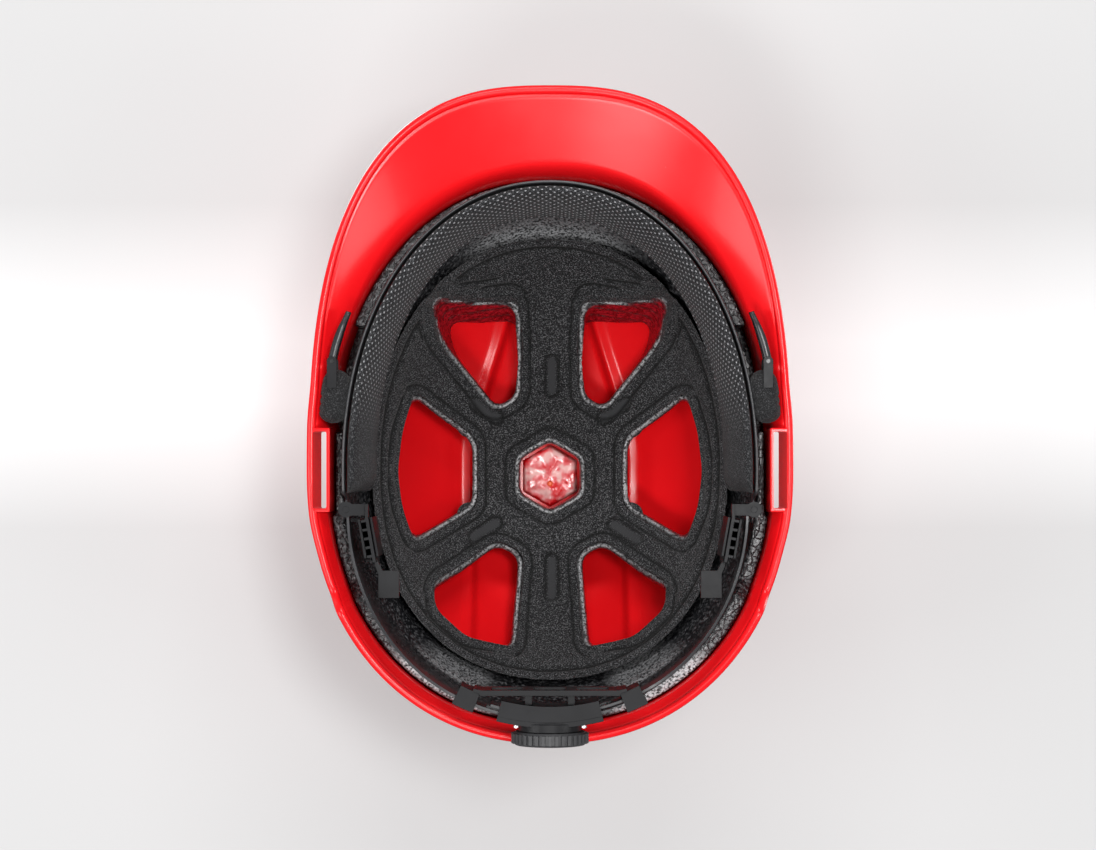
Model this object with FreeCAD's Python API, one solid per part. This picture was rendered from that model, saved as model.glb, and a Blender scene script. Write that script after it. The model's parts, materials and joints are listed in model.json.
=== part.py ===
"""Arborist helmet: shell with peak, foam liner, pads and a ratchet headband.

The helmet is drawn as it is worn, crown up (+Z), peak towards -Y and the wearer's left at +X.
Every shape is drawn about the middle of the rim plane. At the end the whole model is lifted and
shifted, so that its origin is the middle of its base.
"""
import FreeCAD, Part
import math
import os

V = FreeCAD.Vector

# Outer shell
RIM_HALF_WIDTH = 110.6
PEAK_REACH = 177.0
RIM_REAR = 124.5
DOME_HALF_WIDTH = 105.5
DOME_FRONT = 138.5
DOME_REAR = 119.5
OUTLINE_POWER = 2.15
PEAK_POWER = 2.65
DOME_POWER = 2.25
CROWN_HEIGHT = 148.0
SHELL_WALL = 2.6
SKIRT_HEIGHT = 10.0
PEAK_EDGE_RISE = 6.0
PEAK_ROOT_RISE = 6.0
NAPE_DROP = 10.0
NAPE_STEP_Y = (56.0, 66.0)
CREST_LIFT = 2.6
CREST_HALF_WIDTH = 40.0
CREST_FRONT_HALF_WIDTH = 27.0
CREST_SHOULDER = 9.0
CREST_FADE_HEIGHT = (45.0, 85.0)

# Accessory slot on each side of the shell
SLOT_INNER_X = 102.3
SLOT_WIDTH = 5.9
SLOT_HALF_LENGTH = 17.7
SLOT_WALL = 2.8
SLOT_BLOCK_HEIGHT = 22.0
SLOT_BLOCK_BOTTOM = -0.8
SLOT_BACK_HEIGHT = 40.0

# Foam liner
LINER_GAP = 0.8
LINER_CROWN_THICKNESS = 20.0
LINER_EDGE_RISE = 4.0
LINER_FULL_FROM = 36.0
LINER_BAND_GAP = 0.8
LINER_REAR = 112.7
WINDOW_FLARE = 0.36
CROWN_HOLE_Y = 3.0
CROWN_HOLE_RADIUS = 17.4

# Crown pad
PAD_GAP = 0.3
PAD_THICKNESS = 5.0
PAD_HALF_WIDTH = 85.0
PAD_FRONT = 112.0
PAD_REAR = 100.0
PAD_WINDOW_MARGIN = 1.7
FASTENER_RADIUS = 7.0
FASTENER_THICKNESS = 1.2

# Front half of the headband
BAND_HALF_WIDTH = 95.3
BAND_FRONT = 132.6
BAND_POWER = 2.1
BAND_THICKNESS = 1.3
BAND_BOTTOM = -2.0
BAND_TOP = 24.0
BAND_END_Y = 24.0
BROW_PAD_END_ANGLE = 96.5
BROW_PAD_BOTTOM = -3.5
BROW_PAD_TOP = 33.0
BROW_PAD_LEAN = 8.5
BROW_PAD_THICKNESS = 7.5
BROW_PAD_GAP = 0.6

# Rear half of the headband: both rack straps are arcs about one upright line
RING_Y = 18.0
HINGE_X = 93.0
STRAP_THICKNESS = 1.2
OUTER_STRAP_RADIUS = 91.8
INNER_STRAP_RADIUS = 89.6
STRAP_FRONT_Z = 2.5
REAR_Z = -30.0
STRAP_DROP_ANGLE = 62.0
STRAP_END_ANGLE = 107.0
RACK_START_ANGLE = 72.0
RACK_END_ANGLE = 103.0
STRAP_FRONT_HEIGHT = 11.0
STRAP_REAR_HEIGHT = 17.0
PIVOT_RADIUS = 1.5
EYELET_RADIUS = 3.2
RUNNING_GAP = 0.05

# Ratchet
PINION_TEETH = 8
PINION_PITCH_RADIUS = 4.5
RACK_SLOT_HALF_HEIGHT = 5.9
TOOTH_HEIGHT = 1.9
HOUSING_HALF_WIDTH = 22.0
HOUSING_HALF_HEIGHT = 11.5
CHANNEL_INNER_RADIUS = 88.9
CHANNEL_OUTER_RADIUS = 93.8
HOUSING_WALL = 2.2
KNOB_RADIUS = 17.3
KNOB_FRONT_Y = 116.4
KNOB_DEPTH = 6.0
KNOB_RIBS = 36
SHAFT_RADIUS = 2.6
CRADLE_Y = 97.4
CRADLE_THICKNESS = 2.4
CRADLE_HALF_WIDTH = 31.0
KEEPER_ANGLE = 67.0

# Side hardware
RAIL_INNER_X = 81.2
RAIL_DEPTH = 6.6
RAIL_START_Y = 21.5
RAIL_LENGTH = 18.0
RAIL_TURN = 10.0
RAIL_BOTTOM = -5.0
RAIL_TOP = 26.0
RUNG_COUNT = 5
TAB_OUTER_X = 78.5
TAB_WIDTH = 9.5
TAB_START_Y = 46.0
TAB_END_Y = 58.5
TAB_BOTTOM = -2.0
TAB_THICKNESS = 3.0
BLOCK_START = V(97.6, -40.4, 1.2)
BLOCK_END = V(99.5, -27.0, 1.2)
BLOCK_RADIUS = 5.6
LATCH_PIN_RADIUS = 0.9
LATCH_PIVOT = V(99.4, -49.6, 0.0)
LATCH_TIP = V(92.0, -72.3, 0.0)
LATCH_BOTTOM = -5.0
LATCH_TOP = 3.5

# The origin of the finished part is the middle of its base
BASE_SHIFT = V(0, (PEAK_REACH - RIM_REAR) / 2, KNOB_RADIUS - REAR_Z)

# Window corners on the head side of the liner, right half: (x, y, outward side or not)
FRONT_WINDOW = [(18.6, -86.7, True), (54.9, -80.4, True), (54.4, -66.2, True), (27.0, -31.9, False), (17.6, -37.2, False)]
SIDE_WINDOW = [(67.1, -36.0, True), (75.5, 0.5, True), (67.1, 33.8, True), (39.0, 16.9, False), (39.2, -14.5, False)]
REAR_WINDOW = [(26.5, 38.0, False), (57.8, 58.8, True), (57.8, 69.6, True), (42.0, 84.0, True), (19.6, 88.2, True), (16.0, 43.6, False)]
WINDOW_BOTTOM = 40.0
WINDOW_TOP = 160.0
WINDOW_REFERENCE = 88.0


def smooth_step(value, start, end):
    """0 before start, 1 after end, and a smooth ramp between."""
    share = min(max((value - start) / (end - start), 0.0), 1.0)
    return share * share * (3 - 2 * share)


def polar_radius(angle, half_width, front, rear, power):
    """Distance from the middle to a superellipse, angle 0 to the front and 90 degrees to +X."""
    length = front if math.cos(angle) > 0 else rear
    sideways = abs(math.sin(angle) / half_width) ** power
    lengthways = abs(math.cos(angle) / length) ** power
    return (sideways + lengthways) ** (-1 / power)


def polar_point(angle, radius, height):
    return V(radius * math.sin(angle), -radius * math.cos(angle), height)


def ring_point(angle, radius, height):
    """A point on an arc about the ring's upright line, angle 0 at +X and 90 degrees to the rear."""
    return V(radius * math.cos(angle), RING_Y + radius * math.sin(angle), height)


def spread(start, end, count):
    return [start + (end - start) * i / (count - 1) for i in range(count)]


def box(low, high):
    size = V(*high) - V(*low)
    return Part.makeBox(size.x, size.y, size.z, V(*low))


def mirrored(shape):
    return shape.mirror(V(0, 0, 0), V(1, 0, 0))


def rod(start, end, radius):
    return Part.makeCylinder(radius, (end - start).Length, start, end - start)


def surface(rows):
    patch = Part.BSplineSurface()
    patch.interpolate(rows)
    return patch


def sewn_solid(faces):
    skin = Part.makeCompound(faces)
    skin.sewShape()
    solid = Part.makeSolid(Part.makeShell(skin.Faces))
    if solid.Volume < 0:
        solid.reverse()
    return solid


def borders(patch):
    """The four border edges of a surface: first row, last row, first column, last column."""
    u_start, u_end, v_start, v_end = patch.bounds()
    curves = [patch.uIso(u_start), patch.uIso(u_end), patch.vIso(v_start), patch.vIso(v_end)]
    return [curve.toShape() for curve in curves]


def slab(outer_rows, inner_rows):
    """A thick curved sheet between two grids of points."""
    outer = surface(outer_rows)
    inner = surface(inner_rows)
    sides = [Part.makeRuledSurface(a, b) for a, b in zip(borders(outer), borders(inner))]
    return sewn_solid([outer.toShape(), inner.toShape(), *sides])


def bowl(outer_rows, inner_rows):
    """A closed bowl, symmetric about x = 0, from grids of its +X half.

    Each row runs from the rim to the crown, and the rows turn from the front to the rear. The
    crown ends of each grid lie in one level plane, which a flat cap closes.
    """
    outer = surface(outer_rows)
    inner = surface(inner_rows)
    outer_borders = borders(outer)
    inner_borders = borders(inner)
    rim = Part.makeRuledSurface(outer_borders[2], inner_borders[2])
    half = [outer.toShape(), inner.toShape(), rim]
    caps = [Part.Face(Part.Wire([ring, mirrored(ring)])) for ring in (outer_borders[3], inner_borders[3])]
    return sewn_solid(half + [mirrored(face) for face in half] + caps)


# ---------------------------------------------------------------- dome profile

HALF_TURN = [math.radians(a) for a in spread(0, 180, 49)]
FLARE_SHARES = [0.0, 0.3, 0.6, 0.85]
DOME_LEVELS = [math.radians(a) for a in (1.2, 5, 10, 16, 23, 31, 40, 49, 58, 67, 75, 81, 85.5)]


def rim_radius(angle):
    power = PEAK_POWER if math.cos(angle) > 0 else OUTLINE_POWER
    return polar_radius(angle, RIM_HALF_WIDTH, PEAK_REACH, RIM_REAR, power)


def rim_height(angle):
    forward = max(math.cos(angle), 0.0)
    behind = smooth_step(-rim_radius(angle) * math.cos(angle), *NAPE_STEP_Y)
    return PEAK_EDGE_RISE * forward ** 2 - NAPE_DROP * behind


def base_height(angle):
    forward = max(math.cos(angle), 0.0)
    return rim_height(angle) + SKIRT_HEIGHT + PEAK_ROOT_RISE * forward ** 2


def dome_profile(angle):
    """(radius, height) up the outside of the dome, from its foot to the flat at the crown."""
    foot = polar_radius(angle, DOME_HALF_WIDTH, DOME_FRONT, DOME_REAR, OUTLINE_POWER)
    base = base_height(angle)
    power = 2 / DOME_POWER
    top = math.sin(DOME_LEVELS[-1]) ** power
    points = []
    for level in DOME_LEVELS:
        climb = math.sin(level) ** power / top
        points.append((foot * math.cos(level) ** power, base + (CROWN_HEIGHT - base) * climb))
    return points


def shell_profile(angle):
    """(radius, height) from the edge of the peak or rim, up the flare and then up the dome."""
    dome = dome_profile(angle)
    rim = rim_radius(angle)
    foot = polar_radius(angle, DOME_HALF_WIDTH, DOME_FRONT, DOME_REAR, OUTLINE_POWER)
    low = rim_height(angle)
    rise = base_height(angle) - low
    flare = [(rim - (rim - foot) * share, low + rise * share) for share in FLARE_SHARES]
    return flare + dome


def sunk(profile, depths):
    """The profile moved inwards, square to itself. Its last point only moves straight down."""
    last = len(profile) - 1
    moved = []
    for i, (radius, height) in enumerate(profile):
        before = profile[max(i - 1, 0)]
        after = profile[min(i + 1, last)]
        run = after[0] - before[0]
        climb = after[1] - before[1]
        length = math.hypot(run, climb)
        if i == last:
            moved.append((radius, height - depths[i]))
        else:
            moved.append((radius - depths[i] * climb / length, height + depths[i] * run / length))
    return moved


def crest_lift(x, y, height):
    """How far the raised panel along the top of the dome stands up."""
    half_width = CREST_HALF_WIDTH
    half_width -= (CREST_HALF_WIDTH - CREST_FRONT_HALF_WIDTH) * smooth_step(-y, 20.0, 110.0)
    across = 1 - smooth_step(abs(x), half_width, half_width + CREST_SHOULDER)
    return CREST_LIFT * across * smooth_step(height, *CREST_FADE_HEIGHT)


def shell_row(angle, profile):
    row = []
    for radius, height in profile:
        point = polar_point(angle, radius, height)
        share = max(height, 0.0) / CROWN_HEIGHT
        lift = crest_lift(point.x, point.y, height)
        row.append(V(point.x, point.y * (1 + lift * (1 - share) / DOME_FRONT), height + lift * share ** 0.5))
    return row


def flat_ended(rows):
    """The same rows with their crown ends brought to one level."""
    level = max(row[-1].z for row in rows)
    return [row[:-1] + [V(row[-1].x, row[-1].y, level)] for row in rows]


def outer_shell():
    outside = []
    inside = []
    for angle in HALF_TURN:
        profile = shell_profile(angle)
        outside.append(shell_row(angle, profile))
        inside.append(shell_row(angle, sunk(profile, [SHELL_WALL] * len(profile))))
    shell = bowl(flat_ended(outside), flat_ended(inside))
    block_inner = SLOT_INNER_X - SLOT_WALL
    block_outer = SLOT_INNER_X + SLOT_WIDTH + SLOT_WALL
    block_half = SLOT_HALF_LENGTH + SLOT_WALL
    for side in (1, -1):
        block = box((block_inner, -block_half, SLOT_BLOCK_BOTTOM), (block_outer, block_half, SLOT_BLOCK_HEIGHT))
        back = box((block_inner, -block_half, SLOT_BLOCK_BOTTOM), (SLOT_INNER_X, block_half, SLOT_BACK_HEIGHT))
        slot = box(
            (SLOT_INNER_X, -SLOT_HALF_LENGTH, -5),
            (SLOT_INNER_X + SLOT_WIDTH, SLOT_HALF_LENGTH, SLOT_BACK_HEIGHT + 20),
        )
        frame = block.fuse(back).removeSplitter()
        if side < 0:
            frame = mirrored(frame)
            slot = mirrored(slot)
        shell = shell.cut(slot).fuse(frame.cut(slot))
    return shell


# ---------------------------------------------------------------- liner and crown pad


def liner_depths(angle, profile):
    """How far each point of the liner's head side lies inside the dome's outer face."""
    back = SHELL_WALL + LINER_GAP
    foot = polar_radius(angle, DOME_HALF_WIDTH, DOME_FRONT, DOME_REAR, OUTLINE_POWER)
    band = polar_radius(angle, BAND_HALF_WIDTH, BAND_FRONT, LINER_REAR, BAND_POWER)
    edge = foot - back - band - LINER_BAND_GAP
    depths = []
    for _, height in profile:
        share = max(height - LINER_FULL_FROM, 0.0) / (CROWN_HEIGHT - LINER_FULL_FROM)
        depths.append(back + edge + (LINER_CROWN_THICKNESS - edge) * share ** 0.75)
    return depths


def window_prism(corners, margin=0.0):
    """A tapered block through liner and pad, wider towards the shell on its outward sides."""
    middle_x = sum(c[0] for c in corners) / len(corners)
    middle_y = sum(c[1] for c in corners) / len(corners)
    wires = []
    for height in (WINDOW_BOTTOM, WINDOW_TOP):
        points = []
        for x, y, outward in corners:
            away = V(x - middle_x, y - middle_y, 0).normalize() * margin
            out = V(x, y, 0).normalize() * (WINDOW_FLARE * (height - WINDOW_REFERENCE) * outward)
            points.append(V(x, y, height) + away + out)
        wires.append(Part.makePolygon(points + points[:1]))
    return Part.makeLoft(wires, True, True)


def crown_hole(margin=0.0):
    radius = CROWN_HOLE_RADIUS + margin
    points = [
        V(radius * math.sin(math.radians(60 * i)), CROWN_HOLE_Y - radius * math.cos(math.radians(60 * i)), 0)
        for i in range(7)
    ]
    return Part.Face(Part.makePolygon(points)).extrude(V(0, 0, WINDOW_TOP))


def all_windows(margin=0.0):
    right = [window_prism(corners, margin) for corners in (FRONT_WINDOW, SIDE_WINDOW, REAR_WINDOW)]
    return right + [mirrored(prism) for prism in right] + [crown_hole(margin)]


def liner_rows(extra, first=0):
    """Grid rows inside the dome, from level number first upwards."""
    rows = []
    for angle in HALF_TURN:
        profile = dome_profile(angle)
        depths = [depth + extra for depth in liner_depths(angle, profile)]
        rows.append([polar_point(angle, *point) for point in sunk(profile, depths)[first:]])
    return flat_ended(rows)


def eps_liner():
    outside = []
    for angle in HALF_TURN:
        profile = dome_profile(angle)
        moved = sunk(profile, [SHELL_WALL + LINER_GAP] * len(profile))
        outside.append([polar_point(angle, *point) for point in moved])
    liner = bowl(flat_ended(outside), liner_rows(0.0))
    cuts = all_windows()
    for side in (1, -1):
        slot_room = box((SLOT_INNER_X - SLOT_WALL - 0.3, -21, -15), (125, 21, SLOT_BACK_HEIGHT + 0.5))
        latch_room = box((84, -77, -15), (125, -18, 34))
        cuts += [slot_room, latch_room] if side > 0 else [mirrored(slot_room), mirrored(latch_room)]
    strap_room = Part.makeCylinder(OUTER_STRAP_RADIUS + 3.4, 46, V(0, RING_Y, -20))
    return liner.cut(cuts + [strap_room])


def crown_pad():
    first = 3
    pad = bowl(liner_rows(PAD_GAP, first), liner_rows(PAD_GAP + PAD_THICKNESS, first))
    outline = [
        polar_point(angle, polar_radius(angle, PAD_HALF_WIDTH, PAD_FRONT, PAD_REAR, OUTLINE_POWER), 0)
        for angle in [math.radians(a) for a in spread(0, 360, 73)[:-1]]
    ]
    curve = Part.BSplineCurve()
    curve.interpolate(Points=outline, PeriodicFlag=True)
    plug = Part.Face(Part.Wire([curve.toShape()])).extrude(V(0, 0, WINDOW_TOP))
    return pad.common(plug).cut(all_windows(PAD_WINDOW_MARGIN))


# ---------------------------------------------------------------- front half of the headband


def band_radius(angle, inset):
    return polar_radius(angle, BAND_HALF_WIDTH, BAND_FRONT, BAND_FRONT, BAND_POWER) - inset


def headband_front():
    reach = math.radians(90) + math.asin(BAND_END_Y / BAND_HALF_WIDTH)
    angles = spread(-reach, reach, 61)
    sides = []
    for inset in (0.0, BAND_THICKNESS):
        curve = Part.BSplineCurve()
        curve.interpolate([polar_point(a, band_radius(a, inset), BAND_BOTTOM) for a in angles])
        sides.append(curve.toShape())
    strip = Part.makeRuledSurface(sides[0], sides[1]).extrude(V(0, 0, BAND_TOP - BAND_BOTTOM))
    hinge_room = box((85, 12.5, -10), (100, 30, 11))
    return strip.cut([hinge_room, mirrored(hinge_room)])


def brow_pad():
    reach = math.radians(BROW_PAD_END_ANGLE)
    heights = spread(BROW_PAD_BOTTOM, BROW_PAD_TOP, 7)
    outer = []
    inner = []
    for angle in spread(-reach, reach, 45):
        outer_row = []
        inner_row = []
        for i, height in enumerate(heights):
            share = i / (len(heights) - 1)
            lean = BAND_THICKNESS + BROW_PAD_GAP + BROW_PAD_LEAN * share ** 2
            bulge = BROW_PAD_THICKNESS * (0.55 + 0.45 * math.sin(math.pi * share))
            outer_row.append(polar_point(angle, band_radius(angle, lean), height))
            inner_row.append(polar_point(angle, band_radius(angle, lean + bulge), height))
        outer.append(outer_row)
        inner.append(inner_row)
    return slab(outer, inner)


# ---------------------------------------------------------------- rear half of the headband


def strap_height(angle):
    """Height of the strap's middle line: high at the temple, low and level at the nape."""
    return STRAP_FRONT_Z + (REAR_Z - STRAP_FRONT_Z) * smooth_step(math.degrees(angle), 0, STRAP_DROP_ANGLE)


def rack_teeth(radius, side):
    """Teeth along one long edge of the slot, which the pinion's teeth pass between."""
    pitch_angle = 2 * math.pi * PINION_PITCH_RADIUS / PINION_TEETH / (radius + STRAP_THICKNESS / 2)
    tooth_z = PINION_PITCH_RADIUS
    first = math.ceil((math.radians(RACK_START_ANGLE - 90) / pitch_angle) - 0.5)
    last = math.floor((math.radians(RACK_END_ANGLE - 90) / pitch_angle) - 0.5)
    teeth = []
    for i in range(first, last + 1):
        middle = math.radians(90) + (i + 0.5) * pitch_angle
        base = ring_point(middle, radius, REAR_Z)
        tooth = box((-0.5, 0, tooth_z - 0.6), (0.5, STRAP_THICKNESS, RACK_SLOT_HALF_HEIGHT + 0.4))
        if side < 0:
            tooth = tooth.mirror(V(0, 0, 0), V(0, 0, 1))
        tooth.rotate(V(0, 0, 0), V(0, 0, 1), math.degrees(middle) - 90)
        tooth.translate(base)
        teeth.append(tooth)
    return teeth


def rack_strap(radius, tooth_side):
    """The +X rack strap: an eyelet at the temple, a falling band and a toothed slot at the nape."""
    outer = []
    inner = []
    start = math.asin(EYELET_RADIUS / radius) * 0.6
    for angle in spread(start, math.radians(STRAP_END_ANGLE), 40):
        growth = smooth_step(math.degrees(angle), 35, STRAP_DROP_ANGLE)
        half = (STRAP_FRONT_HEIGHT + (STRAP_REAR_HEIGHT - STRAP_FRONT_HEIGHT) * growth) / 2
        middle = strap_height(angle)
        heights = spread(middle - half, middle + half, 4)
        outer.append([ring_point(angle, radius + STRAP_THICKNESS, z) for z in heights])
        inner.append([ring_point(angle, radius, z) for z in heights])
    band = slab(outer, inner)
    low = STRAP_FRONT_Z - STRAP_FRONT_HEIGHT / 2
    eyelet = Part.makeCylinder(EYELET_RADIUS, STRAP_FRONT_HEIGHT, V(HINGE_X, RING_Y, low))
    bore = Part.makeCylinder(PIVOT_RADIUS + RUNNING_GAP, 40, V(HINGE_X, RING_Y, -20))
    slot = arc_block(radius - 2, radius + 4, RACK_START_ANGLE, RACK_END_ANGLE, REAR_Z - RACK_SLOT_HALF_HEIGHT,
                     REAR_Z + RACK_SLOT_HALF_HEIGHT)
    neck = box((radius, RING_Y, low), (HINGE_X, RING_Y + 3.0, low + STRAP_FRONT_HEIGHT))
    strap = band.fuse([eyelet, neck]).cut([bore, slot])
    return strap.fuse(rack_teeth(radius, tooth_side))


def arc_block(inner, outer, start, end, bottom, top):
    """A block between two radii, two angles (degrees) and two heights about the ring's line."""
    turn = end - start
    ring = Part.makeCylinder(outer, top - bottom, V(0, 0, 0), V(0, 0, 1), turn)
    ring = ring.cut(Part.makeCylinder(inner, top - bottom, V(0, 0, 0), V(0, 0, 1), 360))
    ring.rotate(V(0, 0, 0), V(0, 0, 1), start)
    ring.translate(V(0, RING_Y, bottom))
    return ring


def rear_cylinder(radius, start_y, end_y):
    """A cylinder on the knob's axis between two Y positions."""
    return Part.makeCylinder(radius, end_y - start_y, V(0, start_y, REAR_Z), V(0, 1, 0))


def half_turn_degrees(half_width, radius):
    return math.degrees(math.asin(half_width / radius))


def ratchet_housing():
    """The half of the ratchet case that faces the head, with the floor and roof of its channel."""
    spread_angle = half_turn_degrees(HOUSING_HALF_WIDTH, CHANNEL_INNER_RADIUS)
    low = REAR_Z - HOUSING_HALF_HEIGHT
    high = REAR_Z + HOUSING_HALF_HEIGHT
    case = arc_block(CHANNEL_INNER_RADIUS - HOUSING_WALL, CHANNEL_OUTER_RADIUS, 90 - spread_angle,
                     90 + spread_angle, low, high)
    channel = arc_block(CHANNEL_INNER_RADIUS, CHANNEL_OUTER_RADIUS + 5, 80 - spread_angle, 100 + spread_angle,
                        REAR_Z - STRAP_REAR_HEIGHT / 2 - 0.5, REAR_Z + STRAP_REAR_HEIGHT / 2 + 0.5)
    inside_y = RING_Y + CHANNEL_INNER_RADIUS
    bearing = rear_cylinder(SHAFT_RADIUS + RUNNING_GAP, inside_y - HOUSING_WALL + 0.8, inside_y + 5)
    mouths = [mouth_relief(spread_angle, side) for side in (1, -1)]
    return case.cut([channel, bearing, *mouths, *screw_holes()])


def mouth_relief(spread_angle, side):
    """The channel opens inwards a little at each end, so that the straps may swing."""
    relief = box((HOUSING_HALF_WIDTH - 9, 0, -STRAP_REAR_HEIGHT / 2 - 0.5),
                 (HOUSING_HALF_WIDTH + 4, 1.2, STRAP_REAR_HEIGHT / 2 + 0.5))
    relief.rotate(V(HOUSING_HALF_WIDTH, 0, 0), V(0, 0, 1), -spread_angle - 3)
    relief.translate(V(0, RING_Y + CHANNEL_INNER_RADIUS - 3.4, REAR_Z))
    return relief if side > 0 else mirrored(relief)


def screw_holes():
    return [Part.makeCylinder(0.8, 12, V(x, RING_Y + CHANNEL_OUTER_RADIUS - 7, z), V(0, 1, 0))
            for x, z in screw_places()]


def screw_places():
    return [(x, REAR_Z + z) for x in (-15.0, 15.0) for z in (-10.1, 10.1)]


def ratchet_cover():
    """The rear wall of the ratchet case, with a hub and a ring of click teeth for the knob."""
    spread_angle = half_turn_degrees(HOUSING_HALF_WIDTH, CHANNEL_INNER_RADIUS)
    wall = arc_block(CHANNEL_OUTER_RADIUS, CHANNEL_OUTER_RADIUS + HOUSING_WALL, 90 - spread_angle,
                     90 + spread_angle, REAR_Z - HOUSING_HALF_HEIGHT, REAR_Z + HOUSING_HALF_HEIGHT)
    hub_start = RING_Y + CHANNEL_OUTER_RADIUS + 0.8
    cover = wall.fuse(rear_cylinder(14.2, hub_start, KNOB_FRONT_Y - 0.3))
    well = rear_cylinder(11.0, KNOB_FRONT_Y - 2.6, KNOB_FRONT_Y + 1)
    cover = cover.cut(well)
    teeth = []
    for i in range(24):
        tooth = Part.makeBox(1.1, 2.3, 1.3, V(-0.55, KNOB_FRONT_Y - 2.6, REAR_Z + 10.0))
        tooth.rotate(V(0, 0, REAR_Z), V(0, 1, 0), 15 * i)
        teeth.append(tooth)
    bore = rear_cylinder(SHAFT_RADIUS + RUNNING_GAP, RING_Y + CHANNEL_OUTER_RADIUS - 1, KNOB_FRONT_Y + 1)
    return cover.fuse(teeth).cut([bore, *screw_holes()])


def housing_screws():
    """Four small screws that hold the two halves of the ratchet case together."""
    screws = []
    head_y = RING_Y + CHANNEL_OUTER_RADIUS + HOUSING_WALL - 0.2
    for x, z in screw_places():
        shank = Part.makeCylinder(0.75, 7, V(x, head_y - 6.6, z), V(0, 1, 0))
        head_start = RING_Y + math.sqrt((CHANNEL_OUTER_RADIUS + HOUSING_WALL) ** 2 - x ** 2) + 0.25
        head = Part.makeCylinder(1.3, 0.8, V(x, head_start, z), V(0, 1, 0))
        screws.append(shank.fuse(head))
    return Part.makeCompound(screws)


def pinion_gear():
    """The small gear between the two racks, on a stub shaft that the knob drives."""
    start = RING_Y + INNER_STRAP_RADIUS - 0.4
    end = RING_Y + OUTER_STRAP_RADIUS + STRAP_THICKNESS + 0.4
    root = PINION_PITCH_RADIUS - TOOTH_HEIGHT / 2
    gear = rear_cylinder(root, start, end)
    teeth = []
    for i in range(PINION_TEETH):
        tooth = Part.makeBox(1.1, end - start, TOOTH_HEIGHT + 0.3, V(-0.55, start, REAR_Z + root - 0.3))
        tooth.rotate(V(0, 0, REAR_Z), V(0, 1, 0), 360 / PINION_TEETH * i)
        teeth.append(tooth)
    stub = rear_cylinder(SHAFT_RADIUS, RING_Y + CHANNEL_INNER_RADIUS - 1.2, start)
    drive = rear_cylinder(SHAFT_RADIUS, end, KNOB_FRONT_Y + 3.2)
    thread = rear_cylinder(1.0, KNOB_FRONT_Y - 6, KNOB_FRONT_Y + 4)
    return gear.fuse(teeth + [stub, drive]).cut(thread)


def adjuster_knob():
    """A ribbed disc that the fingers turn."""
    end = KNOB_FRONT_Y + KNOB_DEPTH
    body = rear_cylinder(KNOB_RADIUS - 0.9, KNOB_FRONT_Y, end)
    body = body.makeChamfer(0.9, [e for e in body.Edges if e.BoundBox.YLength < 0.01])
    ribs = []
    for i in range(KNOB_RIBS):
        rib = Part.makeBox(1.5, KNOB_DEPTH - 1.6, 2.4, V(-0.75, KNOB_FRONT_Y + 0.8, REAR_Z + KNOB_RADIUS - 2.4))
        rib.rotate(V(0, 0, REAR_Z), V(0, 1, 0), 360 / KNOB_RIBS * i)
        ribs.append(rib)
    bore = rear_cylinder(SHAFT_RADIUS, KNOB_FRONT_Y - 1, KNOB_FRONT_Y + 3.2)
    passage = rear_cylinder(1.6, KNOB_FRONT_Y, end + 1)
    recess = rear_cylinder(4.4, end - 1.6, end + 1)
    return body.fuse(ribs).cut([bore, passage, recess])


def click_spring():
    """A leaf ring on the knob whose two tips click over the cover's teeth."""
    start = KNOB_FRONT_Y - 2.2
    ring = rear_cylinder(5.0, start, KNOB_FRONT_Y).cut(rear_cylinder(SHAFT_RADIUS, start - 1, KNOB_FRONT_Y + 1))
    arms = []
    for turn in (0, 180):
        arm = Part.makeBox(1.2, 2.2, 5.2, V(-0.6, start, REAR_Z + 4.4))
        arm.rotate(V(0, 0, REAR_Z), V(0, 1, 0), turn + 7.5)
        arms.append(arm)
    return ring.fuse(arms)


def axle_screw():
    end = KNOB_FRONT_Y + KNOB_DEPTH
    head = rear_cylinder(3.4, end - 1.5, end - 0.2)
    shank = rear_cylinder(1.0, KNOB_FRONT_Y - 5, end - 1.5)
    cross = [box((-2.2, end - 0.9, REAR_Z - 0.4), (2.2, end, REAR_Z + 0.4)),
             box((-0.4, end - 0.9, REAR_Z - 2.2), (0.4, end, REAR_Z + 2.2))]
    return head.fuse(shank).cut(cross)


def nape_cradle():
    """A springy plate on the head side of the ratchet case, with two posts and open windows."""
    low = REAR_Z - 12.0
    high = REAR_Z + 10.0
    back = CRADLE_Y + CRADLE_THICKNESS
    plate = box((-CRADLE_HALF_WIDTH, CRADLE_Y, low), (CRADLE_HALF_WIDTH, back, high))
    windows = [box((x - 7.0, CRADLE_Y - 1, low + 5), (x + 7.0, back + 1, high - 5)) for x in (-19.0, 0.0, 19.0)]
    case_face = RING_Y + math.sqrt((CHANNEL_INNER_RADIUS - HOUSING_WALL) ** 2 - 11.0 ** 2)
    posts = [box((x - 1.5, back - 0.5, REAR_Z - 9), (x + 1.5, case_face, REAR_Z + 9)) for x in (-9.5, 9.5)]
    wings = []
    for side in (1, -1):
        tip = ring_point(math.radians(KEEPER_ANGLE), INNER_STRAP_RADIUS - 2.9, 0)
        outline = [
            V(CRADLE_HALF_WIDTH - 1, CRADLE_Y, low),
            V(tip.x, tip.y - 1.2, low),
            V(tip.x + 0.6, tip.y + 1.0, low),
            V(CRADLE_HALF_WIDTH - 1, back, low),
        ]
        wing = Part.Face(Part.makePolygon(outline + outline[:1])).extrude(V(0, 0, high - low))
        wings.append(wing if side > 0 else mirrored(wing))
    keeper_room = arc_block(INNER_STRAP_RADIUS - 2.9, OUTER_STRAP_RADIUS + 5, KEEPER_ANGLE - 4, KEEPER_ANGLE + 2,
                            low - 1, high + 3)
    return plate.cut(windows).fuse(posts + wings).cut([keeper_room, mirrored(keeper_room)])


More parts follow.
